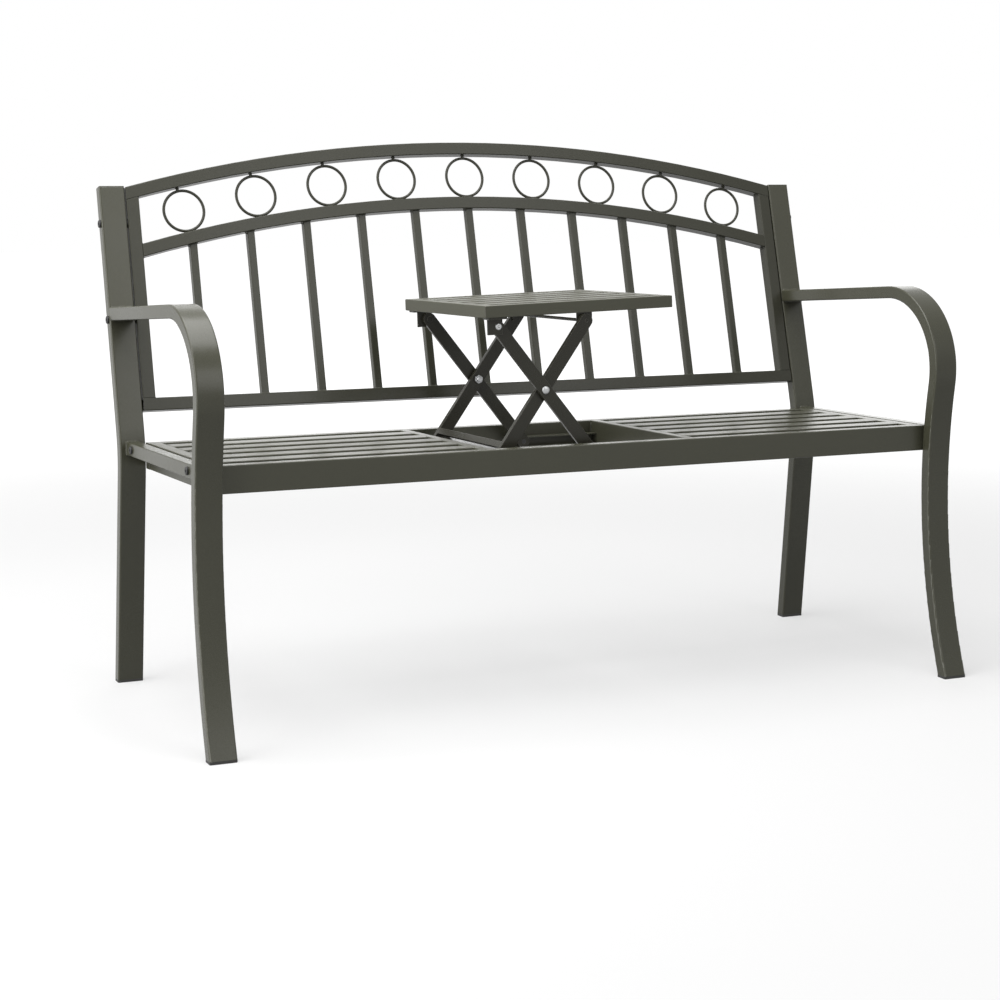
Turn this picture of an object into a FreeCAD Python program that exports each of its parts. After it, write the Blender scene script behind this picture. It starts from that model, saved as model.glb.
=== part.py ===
import FreeCAD, Part

import math
import os
import Sketcher

# Companion seat bench: two slatted places, a curved barred back, and a small table between the
# places that folds down flush into the seat on two scissor pairs.
# Millimetres. X runs to the right as seen from the front, Y runs to the back, Z is up.
# The origin is on the ground under the middle of the bench.

os.makedirs("parts", exist_ok=True)
doc = FreeCAD.newDocument("companion_bench")
sheet = doc.addObject("Spreadsheet::Sheet", "Sizes")

# Every driving size, in millimetres or degrees, with what it measures.
SIZES = {
    # Overall width and the bent tube of the posts, legs and armrests
    "overall_width": (1250, "outside to outside of the end frames"),
    "leg_tube_width": (40, "wide face of the bent tube, across the bench"),
    "leg_tube_depth": (20, "narrow face of the bent tube"),
    "leg_tube_wall": (1.8, "wall of the bent tube"),
    "leg_tube_corner": (2.5, "outer corner radius of the bent tube"),
    # Rear posts
    "post_bend_place": (147.95, "front face of the rear post at its bend, behind the middle"),
    "post_bend_height": (363, "height of the bend in the rear post"),
    "post_foot_kick": (31.8, "how far the rear foot stands behind the bend"),
    "post_lean": (15.87, "lean of the back, degrees"),
    "post_upper_length": (421.7, "length of the post above its bend, with its cap"),
    "post_bend_radius": (200, "radius of the front face in the bend"),
    "cap_thickness": (2, "head of a post cap"),
    "plug_depth": (14, "how far a cap or foot plug reaches into its tube"),
    "plug_clearance": (0.25, "gap between a plug and the tube around it"),
    "foot_thickness": (4, "sole of a foot plug"),
    # Front legs and armrests
    "leg_bow_radius": (882, "front face of the bowed front leg"),
    "leg_waist_height": (327, "height where the front leg stands furthest back"),
    "leg_waist_place": (-241.05, "front face of the front leg at its waist"),
    "armrest_bend_radius": (130, "outer radius of the front corner of the armrest"),
    "armrest_height": (589.3, "top of the armrest straight above the bend of the post"),
    "armrest_rise": (5.16, "rise of the armrest towards the front, degrees"),
    # Small square tube of the side rails and the back frame
    "frame_tube": (20, "side of the square tube"),
    "frame_wall": (1.5, "wall of the square tube"),
    "frame_corner": (1.5, "outer corner radius of the square tube"),
    # Backrest
    "panel_gap": (2, "gap between a post and the back frame"),
    "panel_bottom": (66.5, "underside of the back frame, along the lean from the bend"),
    "arch_end_drop": (1.45, "ends of the upper arch below the tops of the posts"),
    "arch_radius": (2299, "outer face of the upper arch"),
    "arch_drop": (92.8, "from the outer face of the upper arch to that of the lower arch"),
    "arch_bevel": (1, "bevelled edge of an arch"),
    "back_bar_side": (12, "side of an upright bar"),
    "back_bar_wall": (1.2, "wall of an upright bar"),
    "back_bar_corner": (1, "outer corner radius of an upright bar"),
    "back_bar_margin": (83, "middle of the first bar from the upright beside it"),
    "back_bar_count": (11, "number of upright bars"),
    "ring_diameter": (70, "outside of a ring between the arches"),
    "ring_wire": (4.6, "thickness of a ring"),
    "ring_margin": (73.5, "middle of the first ring from the upright beside it"),
    "ring_count": (9, "number of rings"),
    "ring_lug_diameter": (5, "stud that joins a ring to the upper arch"),
    # Seat frame
    "seat_front": (-219.55, "front edge of the seat, from the middle"),
    "seat_height": (396.8, "front edge of the seat above the ground"),
    "seat_rake": (2.3, "backward slope of the seat, degrees"),
    "seat_end_gap": (5, "gap between a side rail and the seat frame"),
    "seat_rail_width": (20, "width of a seat rail"),
    "seat_rail_height": (40, "height of a seat rail"),
    "seat_rail_wall": (1.5, "wall of a seat rail"),
    "seat_rail_corner": (1.5, "outer corner radius of a seat rail"),
    "seat_rail_end": (3, "plate that closes an end of the front and back rails"),
    "seat_slat_width": (34, "width of a seat slat"),
    "seat_slat_gap": (24, "gap between seat slats"),
    "seat_slat_thickness": (15, "thickness of a seat slat"),
    "seat_slat_wall": (1.2, "wall of a seat slat"),
    "seat_slat_corner": (1.5, "outer corner radius of a seat slat"),
    "seat_slat_count": (5, "number of slats in each place"),
    "inner_rail_width": (15, "width of a rail beside the table well"),
    "well_width": (326, "opening of the table well between the inner rails"),
    "well_shift": (-2, "middle of the well from the middle of the bench"),
    # Frame fasteners
    "bolt_diameter": (6, "shank of a frame bolt"),
    "bolt_clearance": (0.3, "radial gap of a bolt in the holes it passes"),
    "bolt_head_diameter": (12, "head of a frame bolt"),
    "bolt_head_height": (3, "head height of a frame bolt"),
    "socket_width": (4, "across the flats of the socket in a bolt head"),
    "socket_depth": (1.6, "depth of that socket"),
    "head_rounding": (1.2, "rounded rim of a bolt head"),
    "nut_width": (10, "across the flats of a nut"),
    "nut_height": (5, "height of a nut"),
    "thread_gap": (0.05, "radial gap between a bolt and its nut"),
    "bolt_tail": (2, "how far a bolt stands out of its nut"),
    "spacer_diameter": (13, "spacer between the two frames on a bolt"),
    "back_bolt_low": (212, "lower back bolt, along the lean from the bend"),
    "back_bolt_drop": (58.1, "upper back bolt below the top of the post"),
    "seat_bolt_front": (47, "front seat bolt, from the front edge of the seat"),
    "seat_bolt_rear": (344, "rear seat bolt, from the front edge of the seat"),
    # Table
    "table_width": (311, "table top along the bench"),
    "table_depth": (310, "table top from front to back"),
    "table_tube": (18, "side of the square tube of the table frame"),
    "table_wall": (1.2, "wall of the table tube"),
    "table_corner": (1.2, "outer corner radius of the table tube"),
    "table_slat_width": (34, "width of a table slat"),
    "table_slat_thickness": (10, "thickness of a table slat"),
    "table_slat_wall": (1.2, "wall of a table slat"),
    "table_slat_count": (5, "number of table slats"),
    "table_centre_offset": (126.5, "middle of the table from its hinge line"),
    "table_top_rise": (32.4, "table surface above its hinge line"),
    # Scissor arms
    "lower_arm": (135.3, "from the middle pivot to the lower end of an arm"),
    "upper_arm": (125, "from the middle pivot to the upper end of an arm"),
    "arm_width": (20, "width of an arm"),
    "outer_arm_thickness": (6, "thickness of an outer arm"),
    "inner_arm_thickness": (8, "thickness of an inner arm"),
    "open_angle": (54.4, "slope of the inner arms with the table up, degrees"),
    "folded_angle": (0.2, "how far both arms stay above level when folded, degrees"),
    "slider_rise": (4.57, "how far the sliding pins rise in their tracks as the table opens"),
    "pivot_place": (-140.5, "fixed lower pivot, along the bench from the middle"),
    "pivot_depth": (30, "fixed lower pivot below the seat surface"),
    "arm_plane_gap": (1.5, "gap between an inner arm and an outer arm"),
    "bracket_gap": (1, "gap between an arm and the bracket beside it"),
    "pivot_diameter": (8, "middle and lower pivot pins"),
    "hinge_pin_diameter": (6, "pin of the table hinge"),
    "pin_clearance": (0.05, "radial gap of a pin in the arm that turns on it"),
    "pin_head_diameter": (12, "head of a middle pivot pin"),
    "pin_head_height": (2.5, "head height of a middle pivot pin"),
    "rivet_head_diameter": (10, "head of a table hinge pin"),
    "rivet_head_height": (1.2, "head height of a table hinge pin"),
    "rivet_tail_height": (0.9, "closed end of a table hinge pin"),
    "rod_diameter": (5, "rod between the upper ends of the inner arms"),
    "cross_bar_width": (10, "flat bar that ties the two inner arms"),
    "cross_bar_place": (31, "middle of the flat bar from the lower pivot"),
    "cross_bar_thickness": (6, "thickness of that flat bar"),
    "foot_plate_width": (20, "plate between the feet of the inner arms, level with the table up"),
    "foot_plate_thickness": (3, "thickness of that plate"),
    "foot_plate_place": (14.5, "middle of that plate to the right of the lower pivot"),
    "foot_plate_rise": (20.5, "top of that plate above the lower pivot"),
    # Brackets and tracks
    "bracket_thickness": (3, "plate of a table hinge bracket"),
    "bracket_width": (24, "hinge bracket plate along the bench"),
    "bracket_shift": (5.5, "middle of that plate to the left of its pin"),
    "bracket_drop": (12, "hinge bracket plate below the hinge line"),
    "bracket_flange_length": (30, "flange of a hinge bracket along the bench"),
    "bracket_flange_reach": (20, "flange of a hinge bracket out under the table frame"),
    "head_gap": (0.8, "gap between a hinge pin's head and the track it passes"),
    "running_gap": (0.2, "gap between a pin's collars and the arm that turns between them"),
    "collar_diameter": (14, "collar between two arms on their middle pin"),
    "pivot_nut_width": (12, "across the flats of a middle pivot nut"),
    "track_gap": (4.5, "gap between the folded table frame and the tracks under it"),
    "track_reach": (19, "width of a track out from its seat rail"),
    "track_height": (20, "height of a track"),
    "track_wall": (1.8, "wall of a track"),
    "track_length": (160, "length of a track from the right inner rail"),
    "track_clearance": (0.8, "gap between the sliding pin and the lip of its track"),
    "slider_diameter": (7, "sliding pin"),
    "slider_reach": (16, "how far a sliding pin reaches into its track"),
    "pivot_bracket_height": (20, "well bracket that holds a lower pivot pin"),
    "pivot_bracket_nose": (12, "well bracket past its pin"),
    "pivot_bracket_flange": (24, "well bracket along the inner rail"),
    "catch_rail_width": (12, "rail under the table that carries a catch"),
    "catch_thickness": (2, "plate of a table catch"),
    "catch_length": (14, "catch plate past the rod"),
    "catch_leg_width": (8, "leg of a catch beside the rod"),
    "catch_hook": (6, "height of the hook under the rod"),
    "catch_gap": (1.5, "gap between a catch and the rod that it stops"),
}
for row, (alias, (size, note)) in enumerate(SIZES.items(), 1):
    sheet.set(f"A{row}", alias)
    sheet.set(f"B{row}", str(size))
    sheet.setAlias(f"B{row}", alias)
    sheet.set(f"C{row}", note)
doc.recompute()


def size(name):
    """The expression that reads a size from the sheet."""
    return f"Sizes.{name}"


def value(expression):
    """The number that an expression gives now."""
    result = sheet.evalExpression(str(expression))
    return float(getattr(result, "Value", result))


def place(x=0, y=0, z=0, turn=None):
    """A placement expression: a shift, then an optional turn such as rotationx(angle)."""
    shift = f"vector({x}; {y}; {z})"
    return f"placement({shift}; {turn or 'rotationx(0)'})"


# Expressions for what the sizes give together.
HALF_WIDTH = "(Sizes.overall_width / 2)"
POST_X = "(Sizes.overall_width / 2 - Sizes.leg_tube_width / 2)"
PANEL_HALF = "(Sizes.overall_width / 2 - Sizes.leg_tube_width - Sizes.panel_gap)"
PANEL_TUBE_X = f"({PANEL_HALF} - Sizes.frame_tube / 2)"
PANEL_INSIDE = f"({PANEL_HALF} - Sizes.frame_tube)"
BAR_PITCH = f"(2 * ({PANEL_INSIDE} - Sizes.back_bar_margin) / (Sizes.back_bar_count - 1))"
ARCH_TOP = (f"(Sizes.post_upper_length - Sizes.arch_end_drop + Sizes.arch_radius"
            f" - sqrt(Sizes.arch_radius ^ 2 - {PANEL_HALF} ^ 2))")
SEAT_HALF = f"({POST_X} - Sizes.frame_tube / 2 - Sizes.seat_end_gap)"
SLATS_DEPTH = ("(Sizes.seat_slat_count * Sizes.seat_slat_width"
               " + (Sizes.seat_slat_count + 1) * Sizes.seat_slat_gap)")
SEAT_DEPTH = f"({SLATS_DEPTH} + 2 * Sizes.seat_rail_width)"
SEAT_MIDDLE = f"({SEAT_DEPTH} / 2)"
WELL_LEFT = "(Sizes.well_shift - Sizes.well_width / 2)"
WELL_RIGHT = "(Sizes.well_shift + Sizes.well_width / 2)"
POST_KICK_ANGLE = "(atan(Sizes.post_foot_kick / Sizes.post_bend_height) / 1deg)"
OUTER_ANGLE = "(asin(sin(Sizes.open_angle) - Sizes.slider_rise / Sizes.lower_arm) / 1deg)"
TABLE_ROLL = f"((Sizes.open_angle - {OUTER_ANGLE}) / 2)"

# The frames that the pieces are drawn in: the leaning back, the raked seat, and the arms and table.
WORLD = place()
BACK = place(0, "Sizes.post_bend_place", "Sizes.post_bend_height", "rotationx(-Sizes.post_lean)")
SEAT = place(0, "Sizes.seat_front", "Sizes.seat_height", "rotationx(-Sizes.seat_rake)")
MIDDLE_X = "(Sizes.pivot_place + Sizes.lower_arm * cos(Sizes.open_angle))"
MIDDLE_Z = "(Sizes.lower_arm * sin(Sizes.open_angle) - Sizes.pivot_depth)"
OUTER_ARMS = f"{SEAT} * " + place(MIDDLE_X, 0, MIDDLE_Z, f"rotationy({OUTER_ANGLE})")
HINGE_X = f"({MIDDLE_X} - Sizes.upper_arm * cos({OUTER_ANGLE}))"
HINGE_Z = f"({MIDDLE_Z} + Sizes.upper_arm * sin({OUTER_ANGLE}))"
TABLE = f"{SEAT} * " + place(HINGE_X, 0, HINGE_Z, f"rotationy(-{TABLE_ROLL})")

nodes = []


def new_body(label, frame):
    """A body whose own axes are those of the frame that its piece is drawn in."""
    body = doc.addObject("PartDesign::Body", label)
    body.Label = label
    body.setExpression("Placement", frame)
    return body


def node(part, label=None):
    """Counts a finished object as one named sub-part."""
    part.Label = label or part.Label
    nodes.append(part)
    return part


def new_sketch(body, plane, shift=(0, 0, 0), turn=None):
    """A sketch on an origin plane of its body, shifted in the plane's own axes and turned there."""
    sketch = body.newObject("Sketcher::SketchObject", f"{body.Name}_sketch")
    origin = next(f for f in body.Origin.OriginFeatures if f.Role == plane)
    sketch.AttachmentSupport = [(origin, "")]
    sketch.MapMode = "FlatFace"
    sketch.setExpression("AttachmentOffset", place(*shift, turn))
    return sketch


def name_last(sketch, name, expression):
    """Names the newest constraint of a sketch and binds it to the sheet."""
    index = sketch.ConstraintCount - 1
    sketch.renameConstraint(index, name)
    sketch.setExpression(f"Constraints.{name}", str(expression))


def fix_point(sketch, name, geometry, point, x, y):
    """Holds a point of a sketch at a distance from the sketch's origin."""
    for kind, axis, expression in (("DistanceX", "x", x), ("DistanceY", "y", y)):
        sketch.addConstraint(Sketcher.Constraint(kind, -1, 1, geometry, point, value(expression)))
        name_last(sketch, f"{name}_{axis}", expression)


def rectangle(sketch, name, width, height):
    """A rectangle about the origin of the sketch."""
    w, h = value(width) / 2, value(height) / 2
    corners = [FreeCAD.Vector(x, y, 0) for x, y in ((-w, -h), (w, -h), (w, h), (-w, h))]
    first = sketch.GeometryCount
    for i in range(4):
        sketch.addGeometry(Part.LineSegment(corners[i], corners[(i + 1) % 4]))
    for i in range(4):
        sketch.addConstraint(Sketcher.Constraint("Coincident", first + i, 2, first + (i + 1) % 4, 1))
        sketch.addConstraint(Sketcher.Constraint(("Horizontal", "Vertical")[i % 2], first + i))
    sketch.addConstraint(Sketcher.Constraint("Symmetric", first, 1, first + 2, 1, -1, 1))
    sketch.addConstraint(Sketcher.Constraint("DistanceX", first, 1, first, 2, 2 * w))
    name_last(sketch, f"{name}_width", width)
    sketch.addConstraint(Sketcher.Constraint("DistanceY", first + 1, 1, first + 1, 2, 2 * h))
    name_last(sketch, f"{name}_height", height)


def rounded_rectangle(sketch, name, width, height, corner):
    """A rectangle with round corners about the origin of the sketch."""
    w, h, r = value(width) / 2, value(height) / 2, value(corner)
    right_angle = math.pi / 2
    sides = [((r - w, -h), (w - r, -h)), ((w, r - h), (w, h - r)),
             ((w - r, h), (r - w, h)), ((-w, h - r), (-w, r - h))]
    centres = [(w - r, r - h), (w - r, h - r), (r - w, h - r), (r - w, r - h)]
    first = sketch.GeometryCount
    for i in range(4):
        start, end = (FreeCAD.Vector(x, y, 0) for x, y in sides[i])
        sketch.addGeometry(Part.LineSegment(start, end))
        circle = Part.Circle(FreeCAD.Vector(*centres[i], 0), FreeCAD.Vector(0, 0, 1), r)
        sketch.addGeometry(Part.ArcOfCircle(circle, (i - 1) * right_angle, i * right_angle))
    for i in range(4):
        line, arc, following = first + 2 * i, first + 2 * i + 1, first + (2 * i + 2) % 8
        sketch.addConstraint(Sketcher.Constraint("Tangent", line, 2, arc, 1))
        sketch.addConstraint(Sketcher.Constraint("Tangent", arc, 2, following, 1))
        sketch.addConstraint(Sketcher.Constraint(("Horizontal", "Vertical")[i % 2], line))
    for i in range(1, 4):
        sketch.addConstraint(Sketcher.Constraint("Equal", first + 1, first + 2 * i + 1))
    sketch.addConstraint(Sketcher.Constraint("Radius", first + 1, r))
    name_last(sketch, f"{name}_corner", corner)
    sketch.addConstraint(Sketcher.Constraint("Symmetric", first + 1, 3, first + 5, 3, -1, 1))
    sketch.addConstraint(Sketcher.Constraint("DistanceX", first + 6, 1, first + 2, 1, 2 * w))
    name_last(sketch, f"{name}_width", width)
    sketch.addConstraint(Sketcher.Constraint("DistanceY", first, 1, first + 4, 2, 2 * h))
    name_last(sketch, f"{name}_height", height)


def circle(sketch, name, diameter, x=0, y=0):
    """A circle of a given diameter, centred at a point of the sketch."""
    centre = FreeCAD.Vector(value(x), value(y), 0)
    ring = Part.Circle(centre, FreeCAD.Vector(0, 0, 1), value(diameter) / 2)
    index = sketch.addGeometry(ring)
    sketch.addConstraint(Sketcher.Constraint("Diameter", index, value(diameter)))
    name_last(sketch, f"{name}_diameter", diameter)
    if x == 0 and y == 0:
        sketch.addConstraint(Sketcher.Constraint("Coincident", index, 3, -1, 1))
    else:
        fix_point(sketch, name, index, 3, x, y)


def pad(body, sketch, length, midplane=True):
    """Raises a sketch, to both sides of its plane or along its normal."""
    feature = body.newObject("PartDesign::Pad", f"{body.Name}_pad")
    feature.Profile = sketch
    feature.Midplane = midplane
    feature.setExpression("Length", length)
    sketch.Visibility = False
    return feature


def pocket_through(body, sketch):
    """Cuts a sketch out of the whole body, to both sides of its plane."""
    feature = body.newObject("PartDesign::Pocket", f"{body.Name}_pocket")
    feature.Profile = sketch
    feature.Type = "ThroughAll"
    feature.Midplane = True
    return feature


# How a tube's run sets its sketch: plane, and how body axes map to the plane's own axes.
RUNS = {
    "x": ("YZ_Plane", lambda x, y, z: (y, z, x)),
    "y": ("XZ_Plane", lambda x, y, z: (x, z, f"-({y})")),
    "z": ("XY_Plane", lambda x, y, z: (x, y, z)),
}


def section_sketch(body, run, centre):
    plane, to_plane = RUNS[run]
    return new_sketch(body, plane, to_plane(*centre))


def tube(body, run, centre, length, across, upright, wall, corner):
    """A straight open tube about its own middle; across and upright are its section's sides."""
    section = section_sketch(body, run, centre)
    rounded_rectangle(section, "outside", across, upright, corner)
    rectangle(section, "inside", f"{across} - 2 * {wall}", f"{upright} - 2 * {wall}")
    return pad(body, section, length)


def block(body, run, centre, length, across, upright):
    """A straight solid bar about its own middle."""
    section = section_sketch(body, run, centre)
    rectangle(section, "outside", across, upright)
    return pad(body, section, length)


def rod(body, run, centre, length, diameter, bore=None):
    """A round bar or sleeve about its own middle."""
    section = section_sketch(body, run, centre)
    circle(section, "outside", diameter)
    if bore:
        circle(section, "bore", bore)
    return pad(body, section, length)


def drill(body, run, centre, length, diameter):
    """A round hole about its own middle."""
    plane, to_plane = RUNS[run]
    section = new_sketch(body, plane, to_plane(*centre))
    circle(section, "hole", diameter)
    feature = body.newObject("PartDesign::Pocket", f"{body.Name}_hole")
    feature.Profile = section
    feature.Midplane = True
    feature.setExpression("Length", length)
    return feature


def group(label, members):
    """Identical loose solids that share one name."""
    compound = doc.addObject("Part::Compound", label)
    compound.Links = members
    return node(compound, label)


def hexagon(sketch, name, across_flats):
    """A hexagon about the origin of the sketch, with two flats along its x axis."""
    radius = value(across_flats) / 2 / math.cos(math.pi / 6)
    corners = [FreeCAD.Vector(radius * math.cos(i * math.pi / 3), radius * math.sin(i * math.pi / 3), 0)
               for i in range(6)]
    first = sketch.GeometryCount
    for i in range(6):
        sketch.addGeometry(Part.LineSegment(corners[i], corners[(i + 1) % 6]))
    round_corners = Part.Circle(FreeCAD.Vector(0, 0, 0), FreeCAD.Vector(0, 0, 1), radius)
    rim = sketch.addGeometry(round_corners, True)
    sketch.addConstraint(Sketcher.Constraint("Coincident", rim, 3, -1, 1))
    for i in range(6):
        sketch.addConstraint(Sketcher.Constraint("Coincident", first + i, 2, first + (i + 1) % 6, 1))
        sketch.addConstraint(Sketcher.Constraint("PointOnObject", first + i, 1, rim))
    for i in range(1, 6):
        sketch.addConstraint(Sketcher.Constraint("Equal", first, first + i))
    sketch.addConstraint(Sketcher.Constraint("Horizontal", first + 1))
    sketch.addConstraint(Sketcher.Constraint("Diameter", rim, 2 * radius))
    name_last(sketch, f"{name}_corners", f"{across_flats} / cos(30)")


def closed_tube(body, run, centre, length, across, upright, wall, corner, end):
    """A straight tube closed by a plate at each end."""
    section = section_sketch(body, run, centre)
    rounded_rectangle(section, "outside", across, upright, corner)
    pad(body, section, length)
    inside = section_sketch(body, run, centre)
    rectangle(inside, "inside", f"{across} - 2 * {wall}", f"{upright} - 2 * {wall}")
    feature = body.newObject("PartDesign::Pocket", f"{body.Name}_inside")
    feature.Profile = inside
    feature.Midplane = True
    feature.setExpression("Length", f"{length} - 2 * {end}")


def cut_along(body, run, centre, across, upright):
    """Cuts a straight rectangular channel through the whole body."""
    section = section_sketch(body, run, centre)
    rectangle(section, "channel", across, upright)
    return pocket_through(body, section)


def cut_behind_plane(body, plane, shift, turn, width, height):
    """Removes what lies against the direction of a sketch plane's normal."""
    section = new_sketch(body, plane, shift, turn)
    rectangle(section, "trim", width, height)
    feature = body.newObject("PartDesign::Pocket", f"{body.Name}_trim")
    feature.Profile = section
    feature.Type = "ThroughAll"
    return feature


def cut_disc(body, plane, shift, diameter):
    """Removes a round disc through the whole body, seen along the normal of the plane."""
    section = new_sketch(body, plane, shift)
    circle(section, "disc", diameter)
    return pocket_through(body, section)


SIDES = (("left", "-1"), ("right", "1"))

# Bent tube of the end frames: its middle line in the YZ plane, and sections square to that line.
TUBE_HALF = "(Sizes.leg_tube_depth / 2)"
FOOT_FRONT = "(Sizes.post_bend_place + Sizes.post_foot_kick)"


def spine_sketch(body, side):
    return new_sketch(body, "YZ_Plane", (0, 0, f"{side} * {POST_X}"))


def line_between(sketch, start, end):
    points = [FreeCAD.Vector(value(x), value(y), 0) for x, y in (start, end)]
    return sketch.addGeometry(Part.LineSegment(*points))


def arc_about(sketch, x, y, radius, start_degrees, end_degrees):
    centre = FreeCAD.Vector(value(x), value(y), 0)
    full = Part.Circle(centre, FreeCAD.Vector(0, 0, 1), value(radius))
    span = math.radians(start_degrees), math.radians(end_degrees)
    return sketch.addGeometry(Part.ArcOfCircle(full, *span))


def bind_radius(sketch, name, arc, radius):
    sketch.addConstraint(Sketcher.Constraint("Radius", arc, value(radius)))
    name_last(sketch, name, radius)


def bind_angle(sketch, name, line, degrees):
    sketch.addConstraint(Sketcher.Constraint("Angle", line, math.radians(value(degrees))))
    name_last(sketch, name, degrees)


def sweep_tube(body, spine, shift, turn):
    """Sweeps the hollow section of the bent tube along a spine."""
    section = new_sketch(body, "XY_Plane", shift, turn)
    rounded_rectangle(section, "outside", size("leg_tube_width"), size("leg_tube_depth"),
                      size("leg_tube_corner"))
    rectangle(section, "inside", "Sizes.leg_tube_width - 2 * Sizes.leg_tube_wall",
              "Sizes.leg_tube_depth - 2 * Sizes.leg_tube_wall")
    pipe = body.newObject("PartDesign::AdditivePipe", f"{body.Name}_pipe")
    pipe.Profile = section
    pipe.Spine = (spine, [])
    return pipe


def cut_foot(body, side, y):
    """Cuts a leg off level at the top of its foot plug."""
    return cut_behind_plane(body, "XY_Plane", (f"{side} * {POST_X}", y, size("foot_thickness")), None,
                            "3 * Sizes.leg_tube_width", "6 * Sizes.leg_tube_depth")


def back_point(along, behind):
    """World Y and Z of a point of the back, from its place along the lean and behind its face."""
    y = (f"(Sizes.post_bend_place + ({along}) * sin(Sizes.post_lean)"
         f" + ({behind}) * cos(Sizes.post_lean))")
    z = (f"(Sizes.post_bend_height + ({along}) * cos(Sizes.post_lean)"
         f" - ({behind}) * sin(Sizes.post_lean))")
    return y, z


def seat_point(y, z):
    """A world place in the seat's own axes: from its front edge back, and up."""
    back, up = f"(({y}) - Sizes.seat_front)", f"(({z}) - Sizes.seat_height)"
    return (f"({back} * cos(Sizes.seat_rake) - {up} * sin(Sizes.seat_rake))",
            f"({back} * sin(Sizes.seat_rake) + {up} * cos(Sizes.seat_rake))")


BACK_BOLTS = (size("back_bolt_low"), "(Sizes.post_upper_length - Sizes.back_bolt_drop)")
HOLE = "(Sizes.bolt_diameter + 2 * Sizes.bolt_clearance)"
FRAME_HALF = "(Sizes.frame_tube / 2)"

# Rear posts: straight foot, bend, straight leaning upper part, with two bolt holes each.
for side_name, side in SIDES:
    post = new_body(f"{side_name}_rear_post", WORLD)
    spine = spine_sketch(post, side)
    foot = (f"({FOOT_FRONT} + {TUBE_HALF} * cos({POST_KICK_ANGLE})"
            f" + {TUBE_HALF} * sin({POST_KICK_ANGLE}))",
            f"({TUBE_HALF} * sin({POST_KICK_ANGLE}) - {TUBE_HALF} * cos({POST_KICK_ANGLE}))")
    top = back_point("Sizes.post_upper_length - Sizes.cap_thickness", TUBE_HALF)
    bend = back_point("0", TUBE_HALF)
    lower = line_between(spine, foot, bend)
    upper = line_between(spine, bend, top)
    curve = arc_about(spine, f"{bend[0]} + Sizes.post_bend_radius", bend[1],
                      f"Sizes.post_bend_radius - {TUBE_HALF}",
                      180 - value("Sizes.post_lean"), 180 + value(POST_KICK_ANGLE))
    fix_point(spine, "foot", lower, 1, *foot)
    fix_point(spine, "top", upper, 2, *top)
    bind_angle(spine, "kick", lower, f"90 + {POST_KICK_ANGLE}")
    bind_angle(spine, "lean", upper, "90 - Sizes.post_lean")
    bind_radius(spine, "bend", curve, f"Sizes.post_bend_radius - {TUBE_HALF}")
    spine.addConstraint(Sketcher.Constraint("Tangent", lower, 2, curve, 2))
    spine.addConstraint(Sketcher.Constraint("Tangent", curve, 1, upper, 1))
    sweep_tube(post, spine, (f"{side} * {POST_X}", *foot), f"rotationx({POST_KICK_ANGLE})")
    cut_foot(post, side, f"{FOOT_FRONT} + {TUBE_HALF}")
    for along in BACK_BOLTS:
        drill(post, "x", (f"{side} * {POST_X}", *back_point(along, FRAME_HALF)),
              "2 * Sizes.leg_tube_width", HOLE)
    node(post)

# Front leg and armrest, one bent tube: bowed leg, front corner, rising armrest.
BOW_Y = "(Sizes.leg_waist_place - Sizes.leg_bow_radius)"
BOW_MIDDLE = f"(Sizes.leg_bow_radius + {TUBE_HALF})"
CORNER_MIDDLE = f"(Sizes.armrest_bend_radius - {TUBE_HALF})"
LEG_START = f"(-{TUBE_HALF})"
LEG_START_Y = f"({BOW_Y} + sqrt({BOW_MIDDLE} ^ 2 - ({LEG_START} - Sizes.leg_waist_height) ^ 2))"
LEG_START_ANGLE = f"(asin((Sizes.leg_waist_height - {LEG_START}) / {BOW_MIDDLE}) / 1deg)"
ARM_LINE = f"(Sizes.armrest_height - {TUBE_HALF} / cos(Sizes.armrest_rise))"
ARM_RUN = (f"((Sizes.armrest_height - Sizes.post_bend_height) * tan(Sizes.post_lean)"
           f" + Sizes.leg_tube_depth)")
for side_name, side in SIDES:
    leg = new_body(f"{side_name}_armrest_leg", WORLD)
    spine = spine_sketch(leg, side)
    rise = value("Sizes.armrest_rise")
    end = (f"(Sizes.post_bend_place + {ARM_RUN})",
           f"({ARM_LINE} - {ARM_RUN} * tan(Sizes.armrest_rise))")
    corner_z = value(ARM_LINE) + 0.9 * value(CORNER_MIDDLE) * math.tan(math.radians(rise))
    corner_y = value("Sizes.leg_waist_place + Sizes.armrest_bend_radius - Sizes.leg_tube_depth")
    bow = arc_about(spine, BOW_Y, size("leg_waist_height"), BOW_MIDDLE,
                    -value(LEG_START_ANGLE), 9)
    corner = arc_about(spine, corner_y, corner_z - value(CORNER_MIDDLE), CORNER_MIDDLE,
                       90 - rise, 189)
    arm = line_between(spine, (corner_y, corner_z), end)
    fix_point(spine, "bow_centre", bow, 3, BOW_Y, size("leg_waist_height"))
    bind_radius(spine, "bow", bow, BOW_MIDDLE)
    bind_radius(spine, "corner", corner, CORNER_MIDDLE)
    spine.addConstraint(Sketcher.Constraint("DistanceY", -1, 1, bow, 1, value(LEG_START)))
    name_last(spine, "start", LEG_START)
    fix_point(spine, "end", arm, 2, *end)
    bind_angle(spine, "rise", arm, "-Sizes.armrest_rise")
    spine.addConstraint(Sketcher.Constraint("Tangent", bow, 2, corner, 2))
    spine.addConstraint(Sketcher.Constraint("Tangent", corner, 1, arm, 1))
    sweep_tube(leg, spine, (f"{side} * {POST_X}", LEG_START_Y, LEG_START),
               f"rotationx(-{LEG_START_ANGLE})")
    cut_foot(leg, side, LEG_START_Y)
    cut_behind_plane(leg, "XZ_Plane",
                     (f"{side} * {POST_X}", size("post_bend_height"), "-Sizes.post_bend_place"),
                     "rotationx(-Sizes.post_lean)", "2 * Sizes.leg_tube_width",
                     "2 * Sizes.post_upper_length")
    node(leg)

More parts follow.
